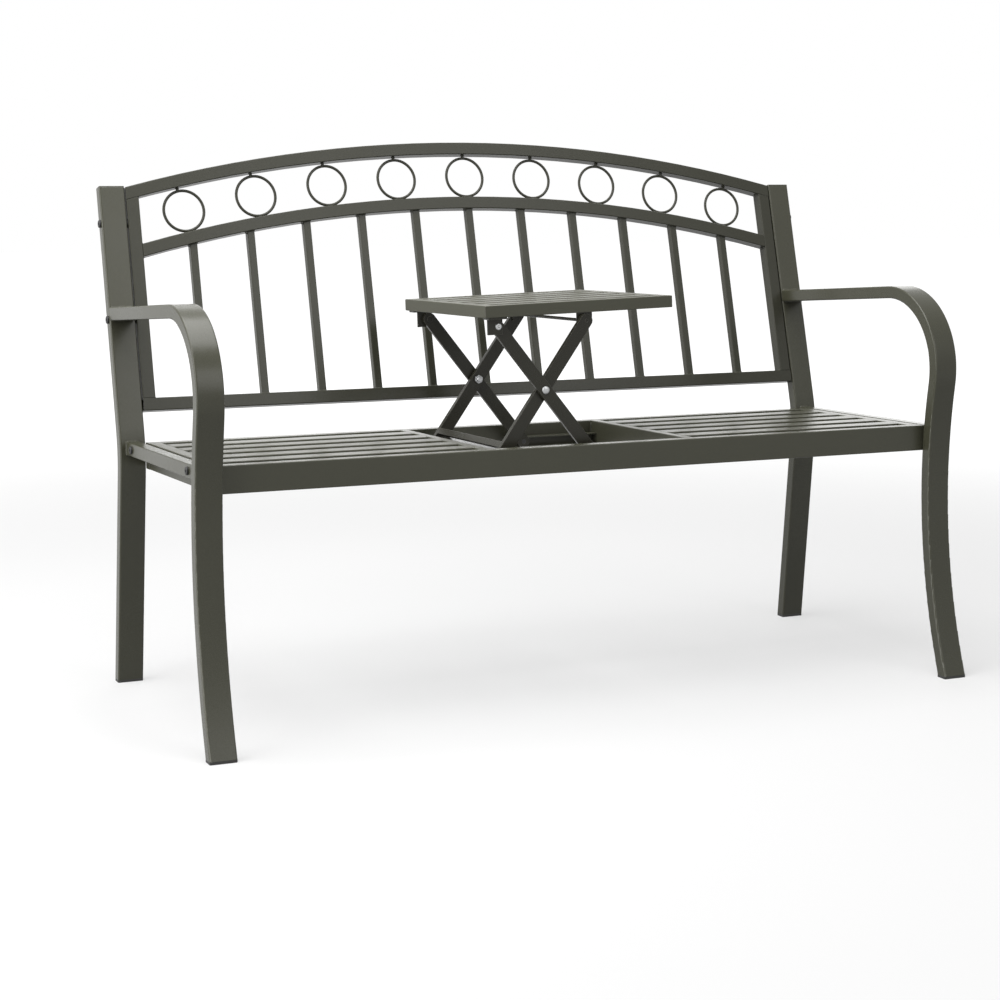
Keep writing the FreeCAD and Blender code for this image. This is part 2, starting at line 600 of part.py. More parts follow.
# Side rails: level with the seat, coped against the front leg and the bend of the rear post.
POST_BEND_SUM = "(1 + cos(Sizes.post_lean + {a}))".format(a=POST_KICK_ANGLE)
BEND_Y = (f"(Sizes.post_bend_place + Sizes.post_bend_radius"
          f" * (cos({POST_KICK_ANGLE}) + cos(Sizes.post_lean)) / {POST_BEND_SUM})")
BEND_Z = (f"(Sizes.post_bend_height + Sizes.post_bend_radius"
          f" * (sin({POST_KICK_ANGLE}) - sin(Sizes.post_lean)) / {POST_BEND_SUM})")
SIDE_RAIL_Z = f"(-{FRAME_HALF})"
SEAT_BOLTS = (size("seat_bolt_front"), size("seat_bolt_rear"))
for side_name, side in SIDES:
    rail = new_body(f"{side_name}_side_rail", SEAT)
    tube(rail, "y", (f"{side} * {POST_X}", SEAT_MIDDLE, SIDE_RAIL_Z),
         f"{SEAT_DEPTH} + 4 * Sizes.leg_tube_width", size("frame_tube"), size("frame_tube"),
         size("frame_wall"), size("frame_corner"))
    front = seat_point(BOW_Y, size("leg_waist_height"))
    cut_disc(rail, "YZ_Plane", (*front, 0), "2 * (Sizes.leg_bow_radius + Sizes.leg_tube_depth)")
    cut_disc(rail, "YZ_Plane", (*seat_point(BEND_Y, BEND_Z), 0), "2 * Sizes.post_bend_radius")
    for along in SEAT_BOLTS:
        drill(rail, "x", (f"{side} * {POST_X}", along, SIDE_RAIL_Z), "2 * Sizes.frame_tube", HOLE)
    node(rail)


def plug(label, frame, x, y, head_z, insert_z, depth_at_head, insert_depth):
    """A plug: a head that covers the tube's end and a stem that reaches into the tube."""
    body = new_body(label, frame)
    head = new_sketch(body, "XY_Plane", (x, y, head_z[0]))
    rounded_rectangle(head, "head", size("leg_tube_width"), depth_at_head, size("leg_tube_corner"))
    pad(body, head, head_z[1])
    stem = new_sketch(body, "XY_Plane", (x, insert_z[2], insert_z[0]))
    rectangle(stem, "stem", "Sizes.leg_tube_width - 2 * (Sizes.leg_tube_wall + Sizes.plug_clearance)",
              insert_depth)
    pad(body, stem, insert_z[1])
    return body


# Post caps: a flat head on the cut top of each post.
CAP_MIDDLE = "(Sizes.post_upper_length - Sizes.cap_thickness / 2)"
CAP_STEM = "(Sizes.post_upper_length - Sizes.cap_thickness - Sizes.plug_depth / 2)"
group("post_caps", [
    plug(f"{side_name}_post_cap", BACK, f"{side} * {POST_X}", TUBE_HALF,
         (CAP_MIDDLE, size("cap_thickness")), (CAP_STEM, size("plug_depth"), TUBE_HALF),
         size("leg_tube_depth"),
         "Sizes.leg_tube_depth - 2 * (Sizes.leg_tube_wall + Sizes.plug_clearance)")
    for side_name, side in SIDES])


def foot_plug(label, side, middle_low, middle_high, slope):
    """A foot plug with a level sole and an upright stem that clears the sloping tube."""
    tube_inside = "(Sizes.leg_tube_depth - 2 * Sizes.leg_tube_wall)"
    stem_depth = (f"{tube_inside} / cos({slope}) - Sizes.plug_depth * tan({slope})"
                  " - 2 * Sizes.plug_clearance")
    return plug(label, WORLD, f"{side} * {POST_X}", middle_low,
                ("Sizes.foot_thickness / 2", size("foot_thickness")),
                ("Sizes.foot_thickness + Sizes.plug_depth / 2", size("plug_depth"),
                 f"({middle_low} + {middle_high}) / 2"),
                f"Sizes.leg_tube_depth / cos({slope})", stem_depth)


def bow_place(height):
    return f"({BOW_Y} + sqrt({BOW_MIDDLE} ^ 2 - (({height}) - Sizes.leg_waist_height) ^ 2))"


def post_place(height):
    return f"({FOOT_FRONT} + {TUBE_HALF} / cos({POST_KICK_ANGLE}) - ({height}) * tan({POST_KICK_ANGLE}))"


PLUG_TOP = "(Sizes.foot_thickness + Sizes.plug_depth)"
LEG_SLOPE = f"(asin((Sizes.leg_waist_height - Sizes.foot_thickness) / {BOW_MIDDLE}) / 1deg)"
group("foot_plugs", [
    foot_plug(f"{side_name}_{name}_foot", side, middle(size("foot_thickness")), middle(PLUG_TOP), slope)
    for side_name, side in SIDES
    for name, middle, slope in (("front", bow_place, LEG_SLOPE), ("rear", post_place, POST_KICK_ANGLE))])

# Backrest arches: two concentric curved tubes with closed ends.
ARCH_CENTRE = f"({ARCH_TOP} - Sizes.arch_radius)"
LOWER_RADIUS = "(Sizes.arch_radius - Sizes.arch_drop)"


def arch_outline(sketch, outer, inner, half):
    """Two concentric arcs about the arch centre, joined by upright ends."""
    low, high = value(ARCH_CENTRE), value(half)
    arcs = []
    for name, radius in (("outer", value(outer)), ("inner", value(inner))):
        angle = math.degrees(math.acos(high / radius))
        arcs.append(arc_about(sketch, 0, low, radius, angle, 180 - angle))
    ends = []
    for sign, angle_side in ((1, 1), (-1, 2)):
        tops = [low + math.sqrt(value(r) ** 2 - high ** 2) for r in (outer, inner)]
        end = line_between(sketch, (sign * high, tops[0]), (sign * high, tops[1]))
        sketch.addConstraint(Sketcher.Constraint("Coincident", arcs[0], angle_side, end, 1))
        sketch.addConstraint(Sketcher.Constraint("Coincident", arcs[1], angle_side, end, 2))
        sketch.addConstraint(Sketcher.Constraint("Vertical", end))
        ends.append(end)
    fix_point(sketch, "centre", arcs[0], 3, 0, ARCH_CENTRE)
    sketch.addConstraint(Sketcher.Constraint("Coincident", arcs[0], 3, arcs[1], 3))
    bind_radius(sketch, "outer", arcs[0], outer)
    bind_radius(sketch, "inner", arcs[1], inner)
    for name, end, sign in (("right", ends[0], ""), ("left", ends[1], "-")):
        reach = f"{sign}{half}"
        sketch.addConstraint(Sketcher.Constraint("DistanceX", -1, 1, end, 1, value(reach)))
        name_last(sketch, name, reach)


def long_arc_edges(shape, radii):
    """Names of the arched edges of a pad."""
    return [f"Edge{i}" for i, edge in enumerate(shape.Edges, 1)
            if hasattr(edge.Curve, "Radius") and any(abs(edge.Curve.Radius - r) < 1e-3 for r in radii)]


def arched_tube(label, outer, half):
    """A square tube bent to an arch, cut upright at both ends and closed there."""
    inner = f"({outer} - Sizes.frame_tube)"
    body = new_body(label, BACK)
    outline = new_sketch(body, "XZ_Plane", (0, 0, f"-{FRAME_HALF}"))
    arch_outline(outline, outer, inner, half)
    solid = pad(body, outline, size("frame_tube"))
    doc.recompute()
    bevel = body.newObject("PartDesign::Chamfer", f"{label}_bevel")
    bevel.Base = (solid, long_arc_edges(solid.Shape, (value(outer), value(inner))))
    bevel.setExpression("Size", size("arch_bevel"))
    inside = new_sketch(body, "XZ_Plane", (0, 0, f"-{FRAME_HALF}"))
    arch_outline(inside, f"({outer} - Sizes.frame_wall)", f"({inner} + Sizes.frame_wall)",
                 f"({half} - Sizes.frame_wall)")
    hollow = body.newObject("PartDesign::Pocket", f"{label}_inside")
    hollow.Profile = inside
    hollow.Midplane = True
    hollow.setExpression("Length", "Sizes.frame_tube - 2 * Sizes.frame_wall")
    return node(body)


def cope_under(body, radius, centre):
    """Trims a piece of the back frame to the underside of an arch about a centre at that height."""
    band = new_sketch(body, "XZ_Plane")
    circle(band, "underside", f"2 * {radius}", 0, centre)
    circle(band, "beyond", f"4 * {radius}", 0, centre)
    pocket_through(body, band)


UPPER_UNDER = "(Sizes.arch_radius - Sizes.frame_tube)"
LOWER_UNDER = f"({LOWER_RADIUS} - Sizes.frame_tube)"
arched_tube("backrest_top_arch", size("arch_radius"), PANEL_HALF)
arched_tube("backrest_lower_arch", LOWER_RADIUS, PANEL_INSIDE)

# Bottom rail and end uprights of the back frame.
bottom_rail = new_body("backrest_bottom_rail", BACK)
tube(bottom_rail, "x", (0, FRAME_HALF, f"Sizes.panel_bottom + {FRAME_HALF}"), f"2 * {PANEL_HALF}",
     size("frame_tube"), size("frame_tube"), size("frame_wall"), size("frame_corner"))
node(bottom_rail)

PANEL_FLOOR = "(Sizes.panel_bottom + Sizes.frame_tube)"
for side_name, side in SIDES:
    upright = new_body(f"backrest_{side_name}_upright", BACK)
    tube(upright, "z", (f"{side} * {PANEL_TUBE_X}", FRAME_HALF, f"({PANEL_FLOOR} + {ARCH_TOP}) / 2"),
         f"{ARCH_TOP} - {PANEL_FLOOR}", size("frame_tube"), size("frame_tube"), size("frame_wall"),
         size("frame_corner"))
    cope_under(upright, UPPER_UNDER, ARCH_CENTRE)
    for along in BACK_BOLTS:
        drill(upright, "x", (f"{side} * {PANEL_HALF}", FRAME_HALF, along), "Sizes.frame_tube", HOLE)
    node(upright)

# Upright bars between the bottom rail and the lower arch.
bars = []
for i in range(int(value("Sizes.back_bar_count"))):
    bar = new_body(f"backrest_bar_{i + 1}", BACK)
    x = f"({i} - (Sizes.back_bar_count - 1) / 2) * {BAR_PITCH}"
    bar_top = f"({ARCH_TOP} - Sizes.arch_drop)"
    tube(bar, "z", (x, FRAME_HALF, f"({PANEL_FLOOR} + {bar_top}) / 2"), f"{bar_top} - {PANEL_FLOOR}",
         size("back_bar_side"), size("back_bar_side"), size("back_bar_wall"), size("back_bar_corner"))
    cope_under(bar, LOWER_UNDER, ARCH_CENTRE)
    bars.append(bar)
group("backrest_bars", bars)

# Rings between the arches, in frames turned about the arch centre: each stands on the lower arch
# and hangs from the upper one by a lug.
RING_RADIUS = f"({LOWER_RADIUS} + Sizes.ring_diameter / 2)"
RING_SPREAD = f"(asin(({PANEL_INSIDE} - Sizes.ring_margin) / {RING_RADIUS}) / 1deg)"
rings = []
for i in range(int(value("Sizes.ring_count"))):
    turn = f"(2 * {i} / (Sizes.ring_count - 1) - 1) * {RING_SPREAD}"
    ring = new_body(f"backrest_ring_{i + 1}", f"{BACK} * " + place(0, 0, ARCH_CENTRE, f"rotationy({turn})"))
    torus = ring.newObject("PartDesign::AdditiveTorus", f"{ring.Name}_torus")
    torus.setExpression("Radius1", "(Sizes.ring_diameter - Sizes.ring_wire) / 2")
    torus.setExpression("Radius2", "Sizes.ring_wire / 2")
    torus.setExpression("Placement", place(0, FRAME_HALF, RING_RADIUS, "rotationx(90)"))
    rod(ring, "z", (0, FRAME_HALF, f"{RING_RADIUS} + Sizes.ring_diameter / 2 + Sizes.ring_wire"),
        "3 * Sizes.ring_wire", size("ring_lug_diameter"))
    cope_under(ring, UPPER_UNDER, 0)
    rings.append(ring)
group("backrest_rings", rings)

# Seat frame: closed front and back rails, end rails and the two rails beside the table well.
RAIL_HALF = "(Sizes.seat_rail_width / 2)"
RAIL_Z = "(-Sizes.seat_rail_height / 2)"
RAIL_SECTION = (size("seat_rail_width"), size("seat_rail_height"), size("seat_rail_wall"),
                size("seat_rail_corner"))
for name, y in (("front", RAIL_HALF), ("back", f"({SEAT_DEPTH} - {RAIL_HALF})")):
    rail = new_body(f"seat_{name}_rail", SEAT)
    closed_tube(rail, "x", (0, y, RAIL_Z), f"2 * {SEAT_HALF}", *RAIL_SECTION, size("seat_rail_end"))
    if name == "back":
        for side_name, side in SIDES:
            drill(rail, "x", (f"{side} * {SEAT_HALF}", size("seat_bolt_rear"), SIDE_RAIL_Z),
                  "4 * Sizes.seat_rail_end", HOLE)
    node(rail)
PLACES = (("left", "-1", WELL_LEFT), ("right", "1", WELL_RIGHT))
for side_name, side, well_edge in PLACES:
    rail = new_body(f"seat_{side_name}_end_rail", SEAT)
    tube(rail, "y", (f"{side} * ({SEAT_HALF} - {RAIL_HALF})", SEAT_MIDDLE, RAIL_Z), SLATS_DEPTH,
         *RAIL_SECTION)
    drill(rail, "x", (f"{side} * {SEAT_HALF}", size("seat_bolt_front"), SIDE_RAIL_Z),
          size("seat_rail_width"), HOLE)
    node(rail)
    rail = new_body(f"seat_{side_name}_inner_rail", SEAT)
    tube(rail, "y", (f"{well_edge} + {side} * Sizes.inner_rail_width / 2", SEAT_MIDDLE, RAIL_Z),
         SLATS_DEPTH, size("inner_rail_width"), *RAIL_SECTION[1:])
    node(rail)

# Seat slats: flush with the rails, evenly spaced, between an end rail and an inner rail.
for side_name, side, well_edge in PLACES:
    inner_end = f"({side} * {well_edge} + Sizes.inner_rail_width)"
    outer_end = f"({SEAT_HALF} - Sizes.seat_rail_width)"
    for i in range(int(value("Sizes.seat_slat_count"))):
        slat = new_body(f"seat_{side_name}_slat_{i + 1}", SEAT)
        y = (f"Sizes.seat_rail_width + Sizes.seat_slat_gap + Sizes.seat_slat_width / 2"
             f" + {i} * (Sizes.seat_slat_width + Sizes.seat_slat_gap)")
        tube(slat, "x", (f"{side} * ({inner_end} + {outer_end}) / 2", y, "-Sizes.seat_slat_thickness / 2"),
             f"{outer_end} - {inner_end}", size("seat_slat_width"), size("seat_slat_thickness"),
             size("seat_slat_wall"), size("seat_slat_corner"))
        node(slat)


def round_rim(body, diameter, radius, at_x):
    """Rounds the rim of a bolt head, the round edge of that diameter furthest out."""
    doc.recompute()
    solid = body.Tip
    rims = [f"Edge{i}" for i, edge in enumerate(solid.Shape.Edges, 1)
            if hasattr(edge.Curve, "Radius") and abs(edge.Curve.Radius - value(diameter) / 2) < 1e-6
            and abs(abs(edge.BoundBox.Center.x) - value(at_x)) < 1e-3]
    rounding = body.newObject("PartDesign::Fillet", f"{body.Name}_rim")
    rounding.Base = (solid, rims)
    rounding.setExpression("Radius", radius)
    return rounding


def frame_bolt(label, frame, side, head_x, nut_x, y, z):
    """A bolt from the outside of an end frame to its nut inside the seat or back frame."""
    body = new_body(label, frame)
    top = f"({head_x} + Sizes.bolt_head_height)"
    rod(body, "x", (f"{side} * ({head_x} + {top}) / 2", y, z), size("bolt_head_height"),
        size("bolt_head_diameter"))
    round_rim(body, "Sizes.bolt_head_diameter", size("head_rounding"), top)
    tip = f"({nut_x} - Sizes.nut_height - Sizes.bolt_tail)"
    rod(body, "x", (f"{side} * ({head_x} + {tip}) / 2", y, z), f"{head_x} - {tip}",
        size("bolt_diameter"))
    socket = new_sketch(body, "YZ_Plane", (y, z, f"{side} * {top}"))
    hexagon(socket, "socket", size("socket_width"))
    recess = body.newObject("PartDesign::Pocket", f"{label}_socket")
    recess.Profile = socket
    recess.Midplane = True
    recess.setExpression("Length", "2 * Sizes.socket_depth")
    return body


def hex_nut(label, frame, run, centre, width, height, bore):
    body = new_body(label, frame)
    section = section_sketch(body, run, centre)
    hexagon(section, "flats", width)
    circle(section, "bore", bore)
    pad(body, section, height)
    return body


# Frame bolts, spacers and nuts: two through each post into the back, two through each side rail.
BACK_WALL = f"({PANEL_HALF} - Sizes.frame_wall)"
END_WALL = f"({SEAT_HALF} - Sizes.seat_rail_wall)"
CLOSED_END = f"({SEAT_HALF} - Sizes.seat_rail_end)"
SIDE_FACE = f"({POST_X} + {FRAME_HALF})"
THREAD = "(Sizes.bolt_diameter + 2 * Sizes.thread_gap)"
JOINTS = [(f"{side_name}_back_{i + 1}", BACK, side, HALF_WIDTH, PANEL_HALF, size("panel_gap"), BACK_WALL,
           FRAME_HALF, along) for side_name, side in SIDES for i, along in enumerate(BACK_BOLTS)]
JOINTS += [(f"{side_name}_seat_{i + 1}", SEAT, side, SIDE_FACE, SEAT_HALF, size("seat_end_gap"),
            (END_WALL, CLOSED_END)[i], along, SIDE_RAIL_Z)
           for side_name, side in SIDES for i, along in enumerate(SEAT_BOLTS)]
bolts, spacers, nuts = {"back": [], "seat": []}, [], []
for name, frame, side, head_x, spacer_x, spacer, nut_x, y, z in JOINTS:
    bolts[name.split("_")[1]].append(frame_bolt(f"{name}_bolt", frame, side, head_x, nut_x, y, z))
    ring = new_body(f"{name}_spacer", frame)
    rod(ring, "x", (f"{side} * ({spacer_x} + {spacer} / 2)", y, z), spacer, size("spacer_diameter"), HOLE)
    spacers.append(ring)
    nuts.append(hex_nut(f"{name}_nut", frame, "x", (f"{side} * ({nut_x} - Sizes.nut_height / 2)", y, z),
                        size("nut_width"), size("nut_height"), THREAD))
group("backrest_bolts", bolts["back"])
group("seat_bolts", bolts["seat"])
group("frame_spacers", spacers)
group("frame_nuts", nuts)

# Planes of the scissor mechanism, measured back from the front edge of the seat; the rear set
# mirrors them about the middle of the seat.
ENDS = (("front", "-1"), ("rear", "1"))
TRACK_FACE = "(Sizes.seat_rail_width + Sizes.track_reach)"
PLATE_FACE = f"({TRACK_FACE} + Sizes.head_gap + Sizes.rivet_head_height)"
OUTER_FACE = f"({PLATE_FACE} + Sizes.bracket_thickness + Sizes.bracket_gap)"
OUTER_BACK = f"({OUTER_FACE} + Sizes.outer_arm_thickness)"
INNER_FACE = f"({OUTER_BACK} + Sizes.arm_plane_gap)"
INNER_BACK = f"({INNER_FACE} + Sizes.inner_arm_thickness)"
WELL_FACE = f"({INNER_BACK} + Sizes.bracket_gap)"


def at_end(end, start, depth):
    """Middle of a layer that starts at a plane and is so deep, at the front or mirrored."""
    return f"({SEAT_MIDDLE} + {end} * ({SEAT_MIDDLE} - {start} - ({depth}) / 2))"


# Tracks: channels on the front and back rails, open towards the arms, for the sliding pins.
FOLDED_HINGE = ("(-Sizes.pivot_depth + (Sizes.lower_arm + Sizes.upper_arm)"
                " * sin(Sizes.folded_angle))")
FOLDED_UNDERSIDE = f"({FOLDED_HINGE} + Sizes.table_top_rise - Sizes.table_tube)"
TRACK_TOP = f"({FOLDED_UNDERSIDE} - Sizes.track_gap)"
TRACK_ROOF = f"({TRACK_TOP} - Sizes.track_wall)"
TRACK_SILL = "(-Sizes.pivot_depth - Sizes.slider_diameter / 2 - Sizes.track_clearance)"
TRACK_X = f"({WELL_RIGHT} - Sizes.track_length / 2)"
for end_name, end in ENDS:
    track = new_body(f"well_{end_name}_track", SEAT)
    block(track, "x", (TRACK_X, at_end(end, size("seat_rail_width"), size("track_reach")),
                       f"{TRACK_TOP} - Sizes.track_height / 2"),
          size("track_length"), size("track_reach"), size("track_height"))
    channel = "(Sizes.track_reach - 2 * Sizes.track_wall)"
    cut_along(track, "x", (0, at_end(end, "(Sizes.seat_rail_width + Sizes.track_wall)", channel),
                           f"{TRACK_TOP} - Sizes.track_height / 2"),
              channel, "Sizes.track_height - 2 * Sizes.track_wall")
    cut_along(track, "x", (0, at_end(end, f"({TRACK_FACE} - 2 * Sizes.track_wall)",
                                     "4 * Sizes.track_wall"), f"({TRACK_ROOF} + {TRACK_SILL}) / 2"),
              "4 * Sizes.track_wall", f"{TRACK_ROOF} - {TRACK_SILL}")
    node(track)

# Well brackets and the pins they hold for the lower ends of the inner arms.
PIVOT_HOLE = "(Sizes.pivot_diameter + 2 * Sizes.pin_clearance)"
PIVOT_Z = "(-Sizes.pivot_depth)"
brackets, pins = [], []
for end_name, end in ENDS:
    bracket = new_body(f"well_{end_name}_pivot_bracket", SEAT)
    nose = "(Sizes.pivot_place + Sizes.pivot_bracket_nose)"
    block(bracket, "x", (f"({nose} + {WELL_LEFT}) / 2",
                         at_end(end, WELL_FACE, size("bracket_thickness")), PIVOT_Z),
          f"{nose} - {WELL_LEFT}", size("bracket_thickness"), size("pivot_bracket_height"))
    block(bracket, "x", (f"{WELL_LEFT} + Sizes.bracket_thickness / 2",
                         at_end(end, WELL_FACE, size("pivot_bracket_flange")), PIVOT_Z),
          size("bracket_thickness"), size("pivot_bracket_flange"), size("pivot_bracket_height"))
    drill(bracket, "y", (size("pivot_place"), at_end(end, WELL_FACE, size("bracket_thickness")), PIVOT_Z),
          "2 * Sizes.bracket_thickness", PIVOT_HOLE)
    brackets.append(bracket)
    pin = new_body(f"well_{end_name}_pivot_pin", SEAT)
    reach = f"({WELL_FACE} + Sizes.bracket_thickness - {INNER_FACE} + Sizes.running_gap)"
    rod(pin, "y", (size("pivot_place"), at_end(end, f"({INNER_FACE} - Sizes.running_gap)", reach), PIVOT_Z),
        reach, size("pivot_diameter"))
    head_start = f"({WELL_FACE} + Sizes.bracket_thickness)"
    rod(pin, "y", (size("pivot_place"), at_end(end, head_start, size("pin_head_height")), PIVOT_Z),
        size("pin_head_height"), size("pin_head_diameter"))
    pins.append(pin)
group("well_pivot_brackets", brackets)
group("well_pivot_pins", pins)

# Scissor arms: long slots drawn about their middle pivot.
INNER_MIDDLE = f"{SEAT} * " + place(MIDDLE_X, 0, MIDDLE_Z, "rotationy(-Sizes.open_angle)")
HINGE_HOLE = "(Sizes.hinge_pin_diameter + 2 * Sizes.pin_clearance)"
ROD_HOLE = "(Sizes.rod_diameter + 2 * Sizes.pin_clearance)"
SLIDER_HOLE = "(Sizes.slider_diameter + 2 * Sizes.pin_clearance)"


def arm_outline(sketch, left_reach, right_reach):
    """A bar with round ends that reaches so far to the left and right of the sketch's origin."""
    left_end, right_end, radius = -value(left_reach), value(right_reach), value("Sizes.arm_width") / 2
    right = arc_about(sketch, right_end, 0, radius, -90, 90)
    left = arc_about(sketch, left_end, 0, radius, 90, 270)
    top = line_between(sketch, (right_end, radius), (left_end, radius))
    bottom = line_between(sketch, (left_end, -radius), (right_end, -radius))
    for first, first_end, second, second_end in ((right, 2, top, 1), (top, 2, left, 1),
                                                 (left, 2, bottom, 1), (bottom, 2, right, 1)):
        sketch.addConstraint(Sketcher.Constraint("Tangent", first, first_end, second, second_end))
    sketch.addConstraint(Sketcher.Constraint("Horizontal", top))
    sketch.addConstraint(Sketcher.Constraint("Equal", right, left))
    bind_radius(sketch, "end", right, "Sizes.arm_width / 2")
    sketch.addConstraint(Sketcher.Constraint("PointOnObject", right, 3, -1))
    sketch.addConstraint(Sketcher.Constraint("DistanceX", left, 3, -1, 1, -left_end))
    name_last(sketch, "left_reach", left_reach)
    sketch.addConstraint(Sketcher.Constraint("DistanceX", -1, 1, right, 3, right_end))
    name_last(sketch, "right_reach", right_reach)


def scissor_arm(label, frame, start, thickness, end, left, right):
    """An arm about its middle pivot; left and right give each end's reach and hole."""
    body = new_body(label, frame)
    section = section_sketch(body, "y", (0, at_end(end, start, thickness), 0))
    arm_outline(section, left[0], right[0])
    for name, x, diameter in (("left", f"-{left[0]}", left[1]), ("middle", 0, PIVOT_HOLE),
                              ("right", right[0], right[1])):
        circle(section, f"{name}_hole", diameter, x, 0)
    pad(body, section, thickness)
    return node(body)


LOWER, UPPER = size("lower_arm"), size("upper_arm")
for end_name, end in ENDS:
    scissor_arm(f"inner_arm_{end_name}", INNER_MIDDLE, INNER_FACE, size("inner_arm_thickness"), end,
                (LOWER, PIVOT_HOLE), (UPPER, ROD_HOLE))
    scissor_arm(f"outer_arm_{end_name}", OUTER_ARMS, OUTER_FACE, size("outer_arm_thickness"), end,
                (UPPER, HINGE_HOLE), (LOWER, SLIDER_HOLE))

# What ties the inner arms together: a flat bar and a plate low down, a rod through the upper ends.
cross_bar = new_body("inner_cross_bar", INNER_MIDDLE)
block(cross_bar, "y", ("Sizes.cross_bar_place - Sizes.lower_arm", SEAT_MIDDLE,
                       "(Sizes.arm_width - Sizes.cross_bar_thickness) / 2"),
      f"2 * ({SEAT_MIDDLE} - {INNER_BACK})", size("cross_bar_width"), size("cross_bar_thickness"))
node(cross_bar)
foot_plate = new_body("inner_foot_plate", SEAT)
block(foot_plate, "y", ("Sizes.pivot_place + Sizes.foot_plate_place", SEAT_MIDDLE,
                        f"{PIVOT_Z} + Sizes.foot_plate_rise - Sizes.foot_plate_thickness / 2"),
      f"2 * ({SEAT_MIDDLE} - {INNER_BACK})", size("foot_plate_width"), size("foot_plate_thickness"))
node(foot_plate)
top_rod = new_body("top_rod", INNER_MIDDLE)
rod(top_rod, "y", (UPPER, SEAT_MIDDLE, 0), f"2 * ({SEAT_MIDDLE} - {INNER_FACE})",
    size("rod_diameter"))
node(top_rod)

# Middle pivots: a headed pin with a collar between the arms, and a nut on the inner arm.
pins, nuts = [], []
for end_name, end in ENDS:
    pin = new_body(f"middle_{end_name}_pin", INNER_MIDDLE)
    head_back = f"({OUTER_FACE} - Sizes.running_gap)"
    head_start = f"({head_back} - Sizes.pin_head_height)"
    tip = f"({INNER_BACK} + Sizes.nut_height + Sizes.bolt_tail)"
    for start, depth, diameter in (
            (head_start, size("pin_head_height"), size("pin_head_diameter")),
            (head_back, f"({tip} - {head_back})", size("pivot_diameter")),
            (f"({OUTER_BACK} + Sizes.running_gap)", "(Sizes.arm_plane_gap - Sizes.running_gap)",
             size("collar_diameter"))):
        rod(pin, "y", (0, at_end(end, start, depth), 0), depth, diameter)
    pins.append(pin)
    nuts.append(hex_nut(f"middle_{end_name}_nut", INNER_MIDDLE, "y",
                        (0, at_end(end, INNER_BACK, size("nut_height")), 0), size("pivot_nut_width"),
                        size("nut_height"), "Sizes.pivot_diameter + 2 * Sizes.thread_gap"))
group("middle_pivot_pins", pins)
group("middle_pivot_nuts", nuts)

# Sliding pins on the lower ends of the outer arms, running in the tracks.
pins = []
for end_name, end in ENDS:
    pin = new_body(f"slider_{end_name}_pin", OUTER_ARMS)
    start = f"({TRACK_FACE} - Sizes.slider_reach)"
    depth = f"({OUTER_BACK} - {start})"
    rod(pin, "y", (LOWER, at_end(end, start, depth), 0), depth, size("slider_diameter"))
    pins.append(pin)
group("slider_pins", pins)

# Table: a frame of square tube with slats flush in it, drawn from its hinge line.
TABLE_X = size("table_centre_offset")
TUBE_Z = "(Sizes.table_top_rise - Sizes.table_tube / 2)"
TABLE_SECTION = (size("table_tube"), size("table_tube"), size("table_wall"), size("table_corner"))
TABLE_INSIDE = "(Sizes.table_width - 2 * Sizes.table_tube)"


def mitre(body, side, end, turn):
    """Cuts a table tube at 45 degrees through an outer corner of the table."""
    x = f"{TABLE_X} + {side} * Sizes.table_width / 2"
    y = f"{SEAT_MIDDLE} + {end} * Sizes.table_depth / 2"
    cut_behind_plane(body, "YZ_Plane", (y, TUBE_Z, x), f"rotationy({turn})", "4 * Sizes.table_tube",
                     "2 * Sizes.table_tube")


for end_name, end, turns in (("front", "-1", (-45, -135)), ("rear", "1", (45, 135))):
    apron = new_body(f"table_{end_name}_apron", TABLE)
    y = f"{SEAT_MIDDLE} + {end} * (Sizes.table_depth - Sizes.table_tube) / 2"
    tube(apron, "x", (TABLE_X, y, TUBE_Z), size("table_width"), *TABLE_SECTION)
    for (side_name, side), turn in zip(SIDES, turns):
        mitre(apron, side, end, turn)
    node(apron)
for side_name, side, turns in (("left", "-1", (135, -135)), ("right", "1", (45, -45))):
    apron = new_body(f"table_{side_name}_apron", TABLE)
    x = f"{TABLE_X} + {side} * (Sizes.table_width - Sizes.table_tube) / 2"
    tube(apron, "y", (x, SEAT_MIDDLE, TUBE_Z), size("table_depth"), *TABLE_SECTION)
    for (end_name, end), turn in zip(ENDS, turns):
        mitre(apron, side, end, turn)
    node(apron)
TABLE_GAP = ("((Sizes.table_depth - 2 * Sizes.table_tube - Sizes.table_slat_count"
             " * Sizes.table_slat_width) / (Sizes.table_slat_count + 1))")
slats = []
for i in range(int(value("Sizes.table_slat_count"))):
    slat = new_body(f"table_slat_{i + 1}", TABLE)
    y = (f"{SEAT_MIDDLE} + ({i} - (Sizes.table_slat_count - 1) / 2)"
         f" * (Sizes.table_slat_width + {TABLE_GAP})")
    tube(slat, "x", (TABLE_X, y, "Sizes.table_top_rise - Sizes.table_slat_thickness / 2"), TABLE_INSIDE,
         size("table_slat_width"), size("table_slat_thickness"), size("table_slat_wall"),
         size("table_corner"))
    slats.append(slat)
group("table_slats", slats)

